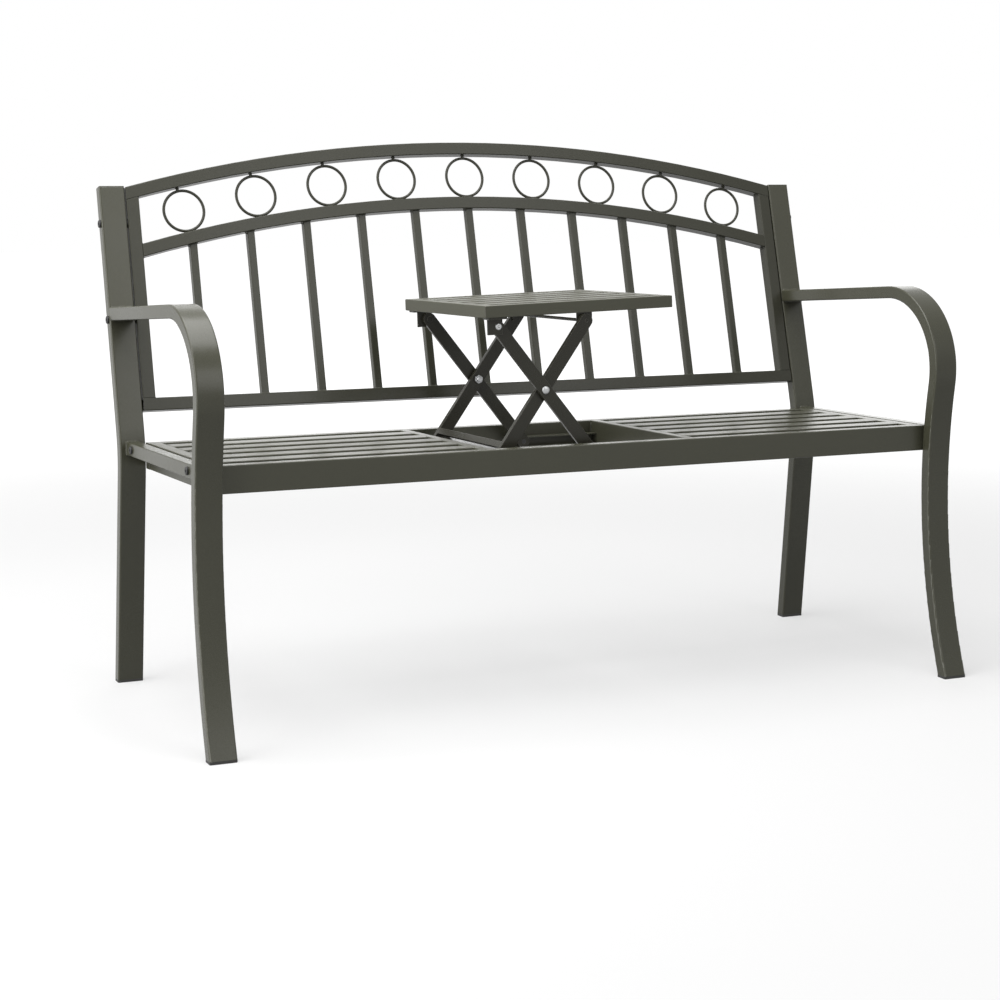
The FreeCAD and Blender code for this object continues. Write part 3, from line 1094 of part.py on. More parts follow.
# Under the table: hinge brackets, catch rails with their catches, and the hinge pins.
UNDERSIDE = "(Sizes.table_top_rise - Sizes.table_tube)"
ROD_X = f"(2 * {UPPER} * cos((Sizes.open_angle + {OUTER_ANGLE}) / 2))"
brackets, pins, catches = [], [], []
for end_name, end in ENDS:
    bracket = new_body(f"table_{end_name}_bracket", TABLE)
    plate_y = at_end(end, PLATE_FACE, size("bracket_thickness"))
    block(bracket, "y", ("-Sizes.bracket_shift", plate_y, f"({UNDERSIDE} - Sizes.bracket_drop) / 2"),
          size("bracket_thickness"), size("bracket_width"), f"{UNDERSIDE} + Sizes.bracket_drop")
    flange_start = f"({PLATE_FACE} + Sizes.bracket_thickness - Sizes.bracket_flange_reach)"
    block(bracket, "y", ("Sizes.bracket_width / 2 - Sizes.bracket_shift - Sizes.bracket_flange_length / 2",
                         at_end(end, flange_start, size("bracket_flange_reach")),
                         f"{UNDERSIDE} - Sizes.bracket_thickness / 2"),
          size("bracket_flange_reach"), size("bracket_flange_length"), size("bracket_thickness"))
    drill(bracket, "y", (0, plate_y, 0), "2 * Sizes.bracket_thickness", HINGE_HOLE)
    brackets.append(bracket)
    pin = new_body(f"table_{end_name}_hinge_pin", TABLE)
    shank = f"({OUTER_BACK} - {PLATE_FACE} + Sizes.running_gap)"
    tail = f"({OUTER_BACK} + Sizes.running_gap)"
    for start, depth, diameter in (
            (f"({PLATE_FACE} - Sizes.rivet_head_height)", size("rivet_head_height"),
             size("rivet_head_diameter")),
            (PLATE_FACE, shank, size("hinge_pin_diameter")),
            (tail, size("rivet_tail_height"), size("rivet_head_diameter"))):
        rod(pin, "y", (0, at_end(end, start, depth), 0), depth, diameter)
    pins.append(pin)
    rail_height = "(Sizes.table_tube - Sizes.table_slat_thickness)"
    catch_rail = new_body(f"table_{end_name}_catch_rail", TABLE)
    block(catch_rail, "x", (TABLE_X, at_end(end, WELL_FACE, size("catch_rail_width")),
                            f"{UNDERSIDE} + {rail_height} / 2"),
          TABLE_INSIDE, size("catch_rail_width"), rail_height)
    node(catch_rail)
    catch = new_body(f"table_{end_name}_catch", TABLE)
    catch_y = at_end(end, WELL_FACE, size("catch_thickness"))
    clear = "(Sizes.rod_diameter / 2 + Sizes.catch_gap)"
    leg_right = f"({ROD_X} - {clear})"
    leg_left = f"({leg_right} - Sizes.catch_leg_width)"
    plate_right = f"({ROD_X} + Sizes.catch_length)"
    hook_floor = f"(-{clear} - Sizes.catch_hook)"
    for left, right, low, high in ((leg_left, plate_right, clear, UNDERSIDE),
                                   (leg_left, leg_right, hook_floor, UNDERSIDE),
                                   (leg_left, ROD_X, hook_floor, f"(-{clear})")):
        block(catch, "y", (f"({left} + {right}) / 2", catch_y, f"({low} + {high}) / 2"),
              size("catch_thickness"), f"{right} - {left}", f"{high} - {low}")
    catches.append(catch)
group("table_brackets", brackets)
group("table_hinge_pins", pins)
group("table_catches", catches)

doc.recompute()
for item in doc.Objects:
    if "Invalid" in item.State or "Error" in item.State:
        raise RuntimeError(f"{item.Name} failed: {item.State}")
for item in nodes:
    if item.Shape.isNull() or not item.Shape.isValid():
        raise RuntimeError(f"{item.Label} has no valid shape")
for item in nodes:
    item.Shape.exportStep(f"parts/{item.Label}.step")
print(len(nodes), "sub-parts written")
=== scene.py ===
"""Companion seat bench in coated metal, with a small folding table between its two places."""

import math

import bmesh
import bpy
import numpy as np
from mathutils import Matrix, Vector
from mathutils.bvhtree import BVHTree


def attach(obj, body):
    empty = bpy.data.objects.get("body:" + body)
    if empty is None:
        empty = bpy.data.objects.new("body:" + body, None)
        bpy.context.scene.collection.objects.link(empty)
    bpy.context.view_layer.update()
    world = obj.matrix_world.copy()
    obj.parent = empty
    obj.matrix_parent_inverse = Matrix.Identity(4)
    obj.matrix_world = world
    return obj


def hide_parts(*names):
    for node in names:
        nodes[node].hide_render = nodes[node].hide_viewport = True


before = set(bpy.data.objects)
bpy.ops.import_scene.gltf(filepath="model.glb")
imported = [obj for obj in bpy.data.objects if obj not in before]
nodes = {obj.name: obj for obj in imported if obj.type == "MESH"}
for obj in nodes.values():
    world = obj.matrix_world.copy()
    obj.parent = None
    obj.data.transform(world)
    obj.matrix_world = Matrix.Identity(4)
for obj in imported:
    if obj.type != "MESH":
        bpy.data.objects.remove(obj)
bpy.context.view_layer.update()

# Camera: a long lens a little above seat height, to the left of the bench, square to nothing.
# It stands where the photograph was taken from, so that the render lies over the photograph.
camera_place = Vector((-1.4637, -3.05925, 0.8555))
camera_azimuth = math.radians(-24.674)
camera_elevation = math.radians(6.584)
camera_roll = math.radians(0.51)

camera = bpy.data.objects.new("camera", bpy.data.cameras.new("camera"))
bpy.context.scene.collection.objects.link(camera)
camera.data.lens = 77.92
camera.data.sensor_width = 36
camera.data.shift_y = -0.117
camera.data.clip_end = 50
level = Vector((math.cos(camera_azimuth), math.sin(camera_azimuth), 0))
back = Vector((math.sin(camera_azimuth) * math.cos(camera_elevation),
               -math.cos(camera_azimuth) * math.cos(camera_elevation),
               math.sin(camera_elevation)))
upright = back.cross(level)
right = math.cos(camera_roll) * level + math.sin(camera_roll) * upright
up = math.cos(camera_roll) * upright - math.sin(camera_roll) * level
turn = Matrix((right, up, back)).transposed().to_4x4()
camera.matrix_world = Matrix.Translation(camera_place) @ turn
bpy.context.scene.camera = camera

# End frames: rear posts, and front legs that turn over into the armrests, of one bent steel tube
# each. They are coated after welding, in a dark warm grey with a fine orange peel, and the coat
# is thinner and a little lighter where it runs off the corners of the tube.


def new_group(name, inputs, outputs):
    """An empty node group with named sockets, and its own input and output nodes."""
    group = bpy.data.node_groups.new(name, "ShaderNodeTree")
    for socket, kind, default in inputs:
        made = group.interface.new_socket(name=socket, in_out="INPUT", socket_type=kind)
        if default is not None:
            made.default_value = default
    for socket, kind in outputs:
        group.interface.new_socket(name=socket, in_out="OUTPUT", socket_type=kind)
    return group, group.nodes.new("NodeGroupInput"), group.nodes.new("NodeGroupOutput")


def math_node(tree, operation, first, second=None, clamp=False):
    """A math node whose inputs are sockets or plain numbers; gives its output."""
    made = tree.nodes.new("ShaderNodeMath")
    made.operation = operation
    made.use_clamp = clamp
    for place, given in enumerate((first, second)):
        if isinstance(given, (int, float)):
            made.inputs[place].default_value = given
        elif given is not None:
            tree.links.new(given, made.inputs[place])
    return made.outputs[0]


def noise_node(tree, coordinates, per_metre, detail=2.0):
    """Noise with a given number of waves in a metre; gives its factor."""
    made = tree.nodes.new("ShaderNodeTexNoise")
    made.inputs["Detail"].default_value = detail
    if isinstance(per_metre, (int, float)):
        made.inputs["Scale"].default_value = per_metre
    else:
        tree.links.new(per_metre, made.inputs["Scale"])
    tree.links.new(coordinates, made.inputs["Vector"])
    return made.outputs["Fac"]


FLOAT, COLOUR, VECTOR = "NodeSocketFloat", "NodeSocketColor", "NodeSocketVector"

# Orange peel: shallow waves a millimetre or two across, with finer grain on them.
orange_peel, given, result = new_group(
    "orange_peel", [("Coordinates", VECTOR, None), ("Waves", FLOAT, 520.0), ("Grain", FLOAT, 0.25)],
    [("Height", FLOAT)])
waves = noise_node(orange_peel, given.outputs["Coordinates"], given.outputs["Waves"], 1.0)
fine = math_node(orange_peel, "MULTIPLY", given.outputs["Waves"], 4.3)
grain = noise_node(orange_peel, given.outputs["Coordinates"], fine, 2.0)
grain = math_node(orange_peel, "MULTIPLY", grain, given.outputs["Grain"])
orange_peel.links.new(math_node(orange_peel, "ADD", waves, grain), result.inputs["Height"])

# Rubbed edges: how near a point is to an outer corner, broken up by noise, and a softened normal.
rubbed_edges, given, result = new_group(
    "rubbed_edges", [("Coordinates", VECTOR, None), ("Radius", FLOAT, 0.0012),
                     ("Breakup", FLOAT, 90.0)],
    [("Mask", FLOAT), ("Normal", VECTOR)])
bevel = rubbed_edges.nodes.new("ShaderNodeBevel")
bevel.samples = 6
rubbed_edges.links.new(given.outputs["Radius"], bevel.inputs["Radius"])
plain = rubbed_edges.nodes.new("ShaderNodeNewGeometry")
agree = rubbed_edges.nodes.new("ShaderNodeVectorMath")
agree.operation = "DOT_PRODUCT"
rubbed_edges.links.new(bevel.outputs["Normal"], agree.inputs[0])
rubbed_edges.links.new(plain.outputs["Normal"], agree.inputs[1])
turned_away = math_node(rubbed_edges, "SUBTRACT", 1.0, agree.outputs["Value"], clamp=True)
turned_away = math_node(rubbed_edges, "MULTIPLY", turned_away, 5.0, clamp=True)
patches = noise_node(rubbed_edges, given.outputs["Coordinates"], given.outputs["Breakup"], 3.0)
patches = math_node(rubbed_edges, "ADD", patches, 0.2, clamp=True)
rubbed = math_node(rubbed_edges, "MULTIPLY", turned_away, patches)
rubbed_edges.links.new(rubbed, result.inputs["Mask"])
rubbed_edges.links.new(bevel.outputs["Normal"], result.inputs["Normal"])

# Coat tone: slow drifts of lighter and darker film over a metre, and a fine fleck of pigment.
coat_tone, given, result = new_group(
    "coat_tone", [("Coordinates", VECTOR, None), ("Thin", COLOUR, (0.1, 0.1, 0.1, 1)),
                  ("Thick", COLOUR, (0.05, 0.05, 0.05, 1)), ("Edge", COLOUR, (0.2, 0.2, 0.2, 1)),
                  ("Edge Mask", FLOAT, 0.0), ("Dullness", FLOAT, 0.15)],
    [("Colour", COLOUR), ("Roughness", FLOAT)])
drift = noise_node(coat_tone, given.outputs["Coordinates"], 7.0, 3.0)
fleck = noise_node(coat_tone, given.outputs["Coordinates"], 1600.0, 1.0)
tone = math_node(coat_tone, "MULTIPLY", drift, 0.7)
tone = math_node(coat_tone, "ADD", tone, math_node(coat_tone, "MULTIPLY", fleck, 0.3), clamp=True)
film = coat_tone.nodes.new("ShaderNodeMix")
film.data_type = "RGBA"
coat_tone.links.new(tone, film.inputs["Factor"])
coat_tone.links.new(given.outputs["Thick"], film.inputs["A"])
coat_tone.links.new(given.outputs["Thin"], film.inputs["B"])
worn = coat_tone.nodes.new("ShaderNodeMix")
worn.data_type = "RGBA"
coat_tone.links.new(given.outputs["Edge Mask"], worn.inputs["Factor"])
coat_tone.links.new(film.outputs["Result"], worn.inputs["A"])
coat_tone.links.new(given.outputs["Edge"], worn.inputs["B"])
coat_tone.links.new(worn.outputs["Result"], result.inputs["Colour"])
unevenness = math_node(coat_tone, "MULTIPLY", drift, 0.14)
unevenness = math_node(coat_tone, "ADD", unevenness, math_node(coat_tone, "MULTIPLY", fleck, 0.1))
dull = math_node(coat_tone, "ADD", unevenness, given.outputs["Dullness"])
coat_tone.links.new(dull, result.inputs["Roughness"])


def start_material(name):
    """A material with its Principled shader and object coordinates, all in metres."""
    material = bpy.data.materials.new(name)
    material.use_nodes = True
    tree = material.node_tree
    shader = tree.nodes["Principled BSDF"]
    coordinates = tree.nodes.new("ShaderNodeTexCoord").outputs["Object"]
    return material, tree, shader, coordinates


def use_group(tree, group, coordinates, **values):
    """Places a node group in a material, with its own values for the named inputs."""
    made = tree.nodes.new("ShaderNodeGroup")
    made.node_tree = group
    tree.links.new(coordinates, made.inputs["Coordinates"])
    for socket, given_value in values.items():
        made.inputs[socket.replace("_", " ")].default_value = given_value
    return made


def powder_coat(name, thick, thin, edge, waves=520.0, edge_radius=0.0010, dullness=0.15,
                gloss=0.35):
    """Coated metal: a film colour that drifts between thick and thin, lighter edges, orange peel."""
    material, tree, shader, coordinates = start_material(name)
    edges = use_group(tree, rubbed_edges, coordinates, Radius=edge_radius)
    film = use_group(tree, coat_tone, coordinates, Thick=(*thick, 1), Thin=(*thin, 1),
                     Edge=(*edge, 1), Dullness=dullness)
    tree.links.new(edges.outputs["Mask"], film.inputs["Edge Mask"])
    peel = use_group(tree, orange_peel, coordinates, Waves=waves)
    bump = tree.nodes.new("ShaderNodeBump")
    bump.inputs["Distance"].default_value = 0.0001
    bump.inputs["Strength"].default_value = 0.6
    tree.links.new(peel.outputs["Height"], bump.inputs["Height"])
    tree.links.new(edges.outputs["Normal"], bump.inputs["Normal"])
    tree.links.new(film.outputs["Colour"], shader.inputs["Base Color"])
    tree.links.new(film.outputs["Roughness"], shader.inputs["Roughness"])
    tree.links.new(bump.outputs["Normal"], shader.inputs["Normal"])
    shader.inputs["Specular IOR Level"].default_value = gloss
    return material


def finish_nodes(names, material):
    """Gives CAD nodes their finish."""
    for name in names:
        mesh = nodes[name].data
        mesh.materials.clear()
        mesh.materials.append(material)


frame_coat = powder_coat("bent_tube_coat", (0.041, 0.041, 0.026), (0.053, 0.053, 0.035),
                         (0.13, 0.13, 0.105))
finish_nodes([f"{side}_{part}" for side in ("left", "right")
              for part in ("rear_post", "armrest_leg", "side_rail")] + ["post_caps"], frame_coat)

# Welds of the end frames, coated over with them: armrest to post above and below, and the side
# rails all round to leg and post. A bead follows the line where one tube's outline meets the
# other tube, and has a ripple every three millimetres.

back_frame = Matrix.Translation((0, 0.14795, 0.363)) @ Matrix.Rotation(math.radians(-15.87), 4, "X")
seat_frame = Matrix.Translation((0, -0.21955, 0.3968)) @ Matrix.Rotation(math.radians(-2.3), 4, "X")
weld_step = 0.0009
ripple_pitch = 0.003
bead_sides = 7
longest_ray = 0.12
surfaces = {}


def steps(points):
    """Points at even steps along a line of points."""
    points = np.array(points)
    runs = np.concatenate(([0], np.cumsum(np.linalg.norm(np.diff(points, axis=0), axis=1))))
    marks = np.linspace(0, runs[-1], int(runs[-1] / weld_step) + 1)
    return np.stack([np.interp(marks, runs, column) for column in points.T], axis=1)


def around(half_u, half_v, corner=0.0015, open_to=None):
    """A tube's rounded outline in even steps, or a U of it whose two sides end at a height."""
    points = []
    for quarter, (side, end) in enumerate(((1, 1), (-1, 1), (-1, -1), (1, -1))):
        for part in range(4):
            angle = math.pi / 2 * (quarter + part / 3)
            points.append((side * (half_u - corner) + corner * math.cos(angle),
                           end * (half_v - corner) + corner * math.sin(angle)))
    if open_to is None:
        return steps(points + points[:1])[:-1]
    return steps([(-half_u, open_to), *points[8:], (half_u, open_to)])


def seam(node, placed, centre, across, up, outline, toward):
    """Where an outline, carried one way from a place in a frame, meets a CAD node."""
    if node not in surfaces:
        mesh = nodes[node].data
        surfaces[node] = BVHTree.FromPolygons([v.co for v in mesh.vertices],
                                              [face.vertices for face in mesh.polygons])
    heading = placed.to_3x3() @ Vector(toward)
    met = []
    for u, v in outline.tolist():
        start = placed @ (Vector(centre) + u * Vector(across) + v * Vector(up))
        met.append(surfaces[node].ray_cast(start, heading, longest_ray)[0])
    return np.array([point for point in met if point is not None])


def lofted(loops, closed):
    """Vertices and faces through rings of points; an open one gets a flat face at each end."""
    count, sides = len(loops), len(loops[0])
    faces = []
    for i in range(count if closed else count - 1):
        low, high = i * sides, (i + 1) % count * sides
        faces += [(low + k, low + (k + 1) % sides, high + (k + 1) % sides, high + k)
                  for k in range(sides)]
    if not closed:
        faces += [tuple(range(sides))[::-1], tuple(range((count - 1) * sides, count * sides))]
    return [tuple(point) for loop in loops for point in loop], faces


def joined(parts):
    """Several sets of vertices and faces as one."""
    vertices, faces = [], []
    for more_vertices, more_faces in parts:
        faces += [tuple(len(vertices) + corner for corner in face) for face in more_faces]
        vertices += more_vertices
    return vertices, faces


def piece(name, shape, body, materials):
    """A piece in the bench's own frame, from vertices and faces, that rides on a body."""
    vertices, faces = shape
    mesh = bpy.data.meshes.new(name)
    mesh.from_pydata(vertices, [], faces)
    checked = bmesh.new()
    checked.from_mesh(mesh)
    bmesh.ops.recalc_face_normals(checked, faces=checked.faces)
    checked.to_mesh(mesh)
    checked.free()
    for material in materials:
        mesh.materials.append(material)
    made = bpy.data.objects.new(name, mesh)
    bpy.context.scene.collection.objects.link(made)
    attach(made, body)
    return made


def bead(path, radius, closed, chance):
    """One weld bead along a seam, rippled and a little uneven, and thin at its open ends."""
    run = np.arange(len(path))
    ahead, behind = np.roll(path, -1, 0), np.roll(path, 1, 0)
    if not closed:
        ahead[-1], behind[0] = path[-1], path[0]
    along = ahead - behind
    along /= np.linalg.norm(along, axis=1)[:, None]
    off_middle = 0.003
    out = path - path.mean(0) + off_middle
    out -= (out * along).sum(1)[:, None] * along
    out /= np.linalg.norm(out, axis=1)[:, None]
    over = np.cross(along, out)
    ripple = 0.16 * np.cos(run * weld_step * 2 * math.pi / ripple_pitch + chance.uniform(0, 6))
    unevenness = np.convolve(chance.normal(0, 0.2, len(run)), np.ones(4) / 4, "same")
    swell = radius * (1 + ripple + unevenness)
    if not closed:
        swell = swell * np.clip(np.minimum(run, run[::-1]) / 3 + 0.3, 0, 1)
    turns = np.linspace(0, 2 * math.pi, bead_sides, endpoint=False)
    loops = [path[i] + swell[i] * (np.outer(np.cos(turns), out[i]) + np.outer(np.sin(turns), over[i]))
             for i in run]
    return lofted(loops, closed)


def weld(name, seams, body, material, radius, closed=True):
    """The weld beads along several seams, as one piece."""
    chance = np.random.default_rng(len(seams))
    beads = [bead(path, radius, closed, chance) for path in seams]
    return piece(name, joined(beads), body, [material])


side_tube_place = 0.605
armrest_bead_half = 0.0175
side_rail_half = 0.010
post_face = 0.0004
bead_lift = 0.0002

armrest_seams, rail_seams = [], []
to_back_frame = back_frame.inverted()
for side_name, side in (("left", -1), ("right", 1)):
    leg, post = f"{side_name}_armrest_leg", f"{side_name}_rear_post"
    place = side * side_tube_place
    ends = np.array([to_back_frame @ v.co for v in nodes[leg].data.vertices])
    ends = ends[np.abs(ends[:, 1]) < post_face]
    for height in (ends[:, 2].min(), ends[:, 2].max()):
        line = steps([(place - armrest_bead_half, -bead_lift, height),
                      (place + armrest_bead_half, -bead_lift, height)])
        armrest_seams.append(np.array([back_frame @ Vector(point) for point in line]))
    for node, start, toward in ((leg, 0.012, -1), (post, 0.335, 1)):
        rail_seams.append(seam(node, seat_frame, (place, start, -side_rail_half), (1, 0, 0), (0, 0, 1),
                               around(side_rail_half, side_rail_half), (0, toward, 0)))
weld("armrest_welds", armrest_seams, "frame", frame_coat, 0.0019, closed=False)
weld("side_rail_welds", rail_seams, "frame", frame_coat, 0.0017)

# Feet: black plastic plugs, moulded in one piece and pressed into the open ends of the legs. Their
# soles have the fine spark texture of the mould.

foot_material, tree, shader, coordinates = start_material("foot_plastic")
spark = noise_node(tree, coordinates, 1400.0, 3.0)
tint = tree.nodes.new("ShaderNodeMix")
tint.data_type = "RGBA"
tree.links.new(noise_node(tree, coordinates, 60.0), tint.inputs["Factor"])
tint.inputs["A"].default_value = (0.016, 0.016, 0.015, 1)
tint.inputs["B"].default_value = (0.028, 0.028, 0.026, 1)
tree.links.new(tint.outputs["Result"], shader.inputs["Base Color"])
tree.links.new(math_node(tree, "ADD", math_node(tree, "MULTIPLY", spark, 0.2), 0.45),
               shader.inputs["Roughness"])
bump = tree.nodes.new("ShaderNodeBump")
bump.inputs["Distance"].default_value = 0.0001
tree.links.new(spark, bump.inputs["Height"])
tree.links.new(bump.outputs["Normal"], shader.inputs["Normal"])
finish_nodes(["foot_plugs"], foot_material)

# Back frame: two arches, a bottom rail and two end uprights of square tube, eleven upright bars
# and a row of wire rings, welded into one panel and coated in one go.

panel_coat = powder_coat("panel_coat", (0.032, 0.032, 0.022), (0.042, 0.042, 0.030),
                         (0.13, 0.13, 0.11), waves=600.0, edge_radius=0.0008, gloss=0.22)
finish_nodes(["backrest_top_arch", "backrest_lower_arch", "backrest_bottom_rail",
              "backrest_left_upright", "backrest_right_upright", "backrest_bars",
              "backrest_rings"], panel_coat)

# Welds of the back panel: beads all round the ends of the bars, small ones where the rings touch
# the arches, and short runs across the tubes at the panel's corners.

panel_middle = 0.010
bar_pitch, bar_half = 0.096, 0.006
arch_centre, ring_spread = -1.8036, 12.616
upright_face, upright_inside = 0.5628, 0.54

bar_seams, ring_seams, corner_seams = [], [], []
for i in range(11):
    for node, start, toward in (("backrest_lower_arch", 0.30, 1), ("backrest_bottom_rail", 0.12, -1)):
        bar_seams.append(seam(node, back_frame, (bar_pitch * (i - 5), panel_middle, start), (1, 0, 0),
                              (0, 1, 0), around(bar_half, bar_half, 0.001), (0, 0, toward)))
for i in range(9):
    turned_frame = (back_frame @ Matrix.Translation((0, 0, arch_centre))
                    @ Matrix.Rotation(math.radians(ring_spread * (i - 4) / 4), 4, "Y"))
    for node, start, reach, toward in (("backrest_lower_arch", 2.216, 0.0048, -1),
                                       ("backrest_top_arch", 2.272, 0.0027, 1)):
        ring_seams.append(seam(node, turned_frame, (0, panel_middle, start), (1, 0, 0), (0, 1, 0),
                               around(reach, 0.0026, 0.0024), (0, 0, toward)))
across_tube = steps([(-0.0085, 0), (0.0085, 0)])
for side_name, side in (("left", -1), ("right", 1)):
    corner, inside = side * upright_face, side * upright_inside
    upright_node = f"backrest_{side_name}_upright"
    for node, x, z, toward in (("backrest_bottom_rail", corner, 0.12, (0, 0, -1)),
                               ("backrest_top_arch", corner, 0.37, (0, 0, 1)),
                               (upright_node, inside, 0.3303, (side, 0, 0)),
                               (upright_node, inside, 0.3083, (side, 0, 0))):
        corner_seams.append(seam(node, back_frame, (x, panel_middle, z), (0, 1, 0), (0, 0, 0),
                                 across_tube, toward))
weld("back_bar_welds", bar_seams, "frame", panel_coat, 0.0012)
weld("ring_welds", ring_seams, "frame", panel_coat, 0.0009)
weld("back_corner_welds", corner_seams, "frame", panel_coat, 0.0016, closed=False)

# Seat frame: closed front and back rails, end rails, the two rails beside the table well, and
# five flat slats in each place, flush with the rails.

seat_coat = powder_coat("seat_coat", (0.047, 0.047, 0.031), (0.060, 0.060, 0.041),
                        (0.15, 0.15, 0.13), waves=560.0, dullness=0.22)
finish_nodes([f"seat_{name}_rail" for name in ("front", "back", "left_end", "right_end",
                                               "left_inner", "right_inner")], seat_coat)
finish_nodes([f"seat_{side}_slat_{i}" for side in ("left", "right") for i in range(1, 6)],
             seat_coat)

# Welds of the seat: the slats and the rails across the seat are welded below and at their sides,
# and ground flush on top, so each bead is a U that ends a little below the seat's surface.

first_slat, slat_pitch, slat_half, slat_middle = 0.061, 0.058, 0.017, -0.0075
inside_start = 0.012
slat_places = ((-0.570, -0.180, "seat_left_end_rail", "seat_left_inner_rail"),
               (0.176, 0.570, "seat_right_inner_rail", "seat_right_end_rail"))
cross_rails = ((-0.580, 0.010), (-0.1725, 0.0075), (0.1685, 0.0075), (0.580, 0.010))

slat_seams, cross_seams = [], []
for left, right, left_node, right_node in slat_places:
    for i in range(5):
        for node, start, toward in ((left_node, left + inside_start, -1),
                                    (right_node, right - inside_start, 1)):
            slat_seams.append(seam(node, seat_frame, (start, first_slat + slat_pitch * i, slat_middle),
                                   (0, 1, 0), (0, 0, 1), around(slat_half, 0.0073, open_to=0.005),
                                   (toward, 0, 0)))
for place, half in cross_rails:
    for node, start, toward in (("seat_front_rail", 0.032, -1), ("seat_back_rail", 0.322, 1)):
        cross_seams.append(seam(node, seat_frame, (place, start, -0.020), (1, 0, 0), (0, 0, 1),
                                around(half, 0.0192, open_to=0.017), (0, toward, 0)))
weld("slat_welds", slat_seams, "frame", seat_coat, 0.0013, closed=False)
weld("seat_rail_welds", cross_seams, "frame", seat_coat, 0.0015, closed=False)

# Frame bolts, spacers and nuts: steel blackened in a bath and left dull, a little greyer where
# hands and the key have rubbed it. The nuts sit inside the tubes.


def turned_steel(name, dark, bright, roughness, metallic):
    """Blackened or plated steel: tone and gloss that vary with handling, and fine turning marks."""
    material, tree, shader, coordinates = start_material(name)
    edges = use_group(tree, rubbed_edges, coordinates, Radius=0.0005, Breakup=300.0)
    smudges = noise_node(tree, coordinates, 110.0, 3.0)
    mix = tree.nodes.new("ShaderNodeMix")
    mix.data_type = "RGBA"
    blend = math_node(tree, "ADD", math_node(tree, "MULTIPLY", smudges, 0.6), edges.outputs["Mask"],
                      clamp=True)
    tree.links.new(blend, mix.inputs["Factor"])
    mix.inputs["A"].default_value = (*dark, 1)
    mix.inputs["B"].default_value = (*bright, 1)
    tree.links.new(mix.outputs["Result"], shader.inputs["Base Color"])
    marks = noise_node(tree, coordinates, 900.0, 2.0)
    smudged = math_node(tree, "MULTIPLY", smudges, 0.2)
    tree.links.new(math_node(tree, "ADD", smudged, roughness), shader.inputs["Roughness"])
    bump = tree.nodes.new("ShaderNodeBump")
    bump.inputs["Distance"].default_value = 0.00006
    bump.inputs["Strength"].default_value = 0.5
    tree.links.new(marks, bump.inputs["Height"])
    tree.links.new(edges.outputs["Normal"], bump.inputs["Normal"])
    tree.links.new(bump.outputs["Normal"], shader.inputs["Normal"])
    shader.inputs["Metallic"].default_value = metallic
    return material


black_steel = turned_steel("blackened_steel", (0.004, 0.004, 0.004), (0.016, 0.016, 0.015), 0.42, 0.0)
finish_nodes(["backrest_bolts", "seat_bolts", "frame_spacers", "frame_nuts"], black_steel)

# Table well: folded tracks for the sliding pins, and the brackets of the lower pivots, all
# coated with the seat frame.

finish_nodes(["well_front_track", "well_rear_track", "well_pivot_brackets"], seat_coat)

# Scissor arms: flat bars with round ends, a cross bar, a foot plate and a rod, in a coat darker than
# the frame's, darkened with painted shade for the table's shade over them. The bar and the plate are
# welded between the inner arms, and the bar lies flush with the arms' edge, so its bead is a U.

# Painted shade: the arm coat's film colours are the frame's grey darkened for the shade under the
# table.
arm_coat_painted_shade = powder_coat("arm_coat_painted_shade", (0.024, 0.023, 0.016), (0.034, 0.033, 0.024),
                       (0.16, 0.155, 0.135), waves=700.0, edge_radius=0.0011, gloss=0.25)
finish_nodes(["inner_arm_front", "inner_arm_rear", "outer_arm_front", "outer_arm_rear",
              "inner_cross_bar", "inner_foot_plate", "top_rod"], arm_coat_painted_shade)
finish_nodes(["slider_pins", "well_pivot_pins"], black_steel)

arm_slope, arm_lower, arm_upper = math.radians(54.4), 0.1353, 0.125
pivot_place, pivot_depth = -0.1405, 0.030
middle_place = (pivot_place + arm_lower * math.cos(arm_slope),
                arm_lower * math.sin(arm_slope) - pivot_depth)
middle_frame = (seat_frame @ Matrix.Translation((middle_place[0], 0, middle_place[1]))
                @ Matrix.Rotation(-arm_slope, 4, "Y"))
bar_ends, plate_ends = [], []
for end, face, toward in (("front", 0.0605, -1), ("rear", 0.2935, 1)):
    arm, start = f"inner_arm_{end}", face - toward * inside_start
    bar_ends.append(seam(arm, middle_frame, (-0.1043, start, 0.007), (1, 0, 0), (0, 0, 1),
                         around(0.005, 0.003, 0.0005, open_to=0.0024), (0, toward, 0)))
    plate_ends.append(seam(arm, seat_frame, (-0.126, start, -0.011), (1, 0, 0), (0, 0, 1),
                           around(0.010, 0.0015, 0.0005), (0, toward, 0)))
weld("cross_bar_welds", bar_ends, "inner_arms", arm_coat_painted_shade, 0.0009, closed=False)
weld("foot_plate_welds", plate_ends, "inner_arms", arm_coat_painted_shade, 0.0009)

# Middle pins: turned steel, zinc plated, with a domed head outside, a collar between the two arms
# and a rolled thread through the nut. The front and the rear pin mirror each other.

seat_middle = 0.177


def mirrored_pair(name, body, placed, depth, profile, materials, outline=None, closed=False):
    """A front and a rear pin or nut, spun from heights and radii inwards from a depth, as one."""
    angles = np.linspace(0, 2 * math.pi, 72, endpoint=False)
    ends = []
    for end in (1, -1):
        across = Matrix.Rotation(-end * math.pi / 2, 4, "X")
        pin = placed @ Matrix.Translation((0, seat_middle - end * (seat_middle - depth), 0)) @ across
        loops = []
        for height, radius in profile:
            reach = outline(angles, radius) if outline else np.full(len(angles), radius)
            loops.append([pin @ Vector((r * math.cos(a), r * math.sin(a), height))
                          for a, r in zip(angles, reach)])
        ends.append(lofted(loops, closed))
    return piece(name, joined(ends), body, materials)


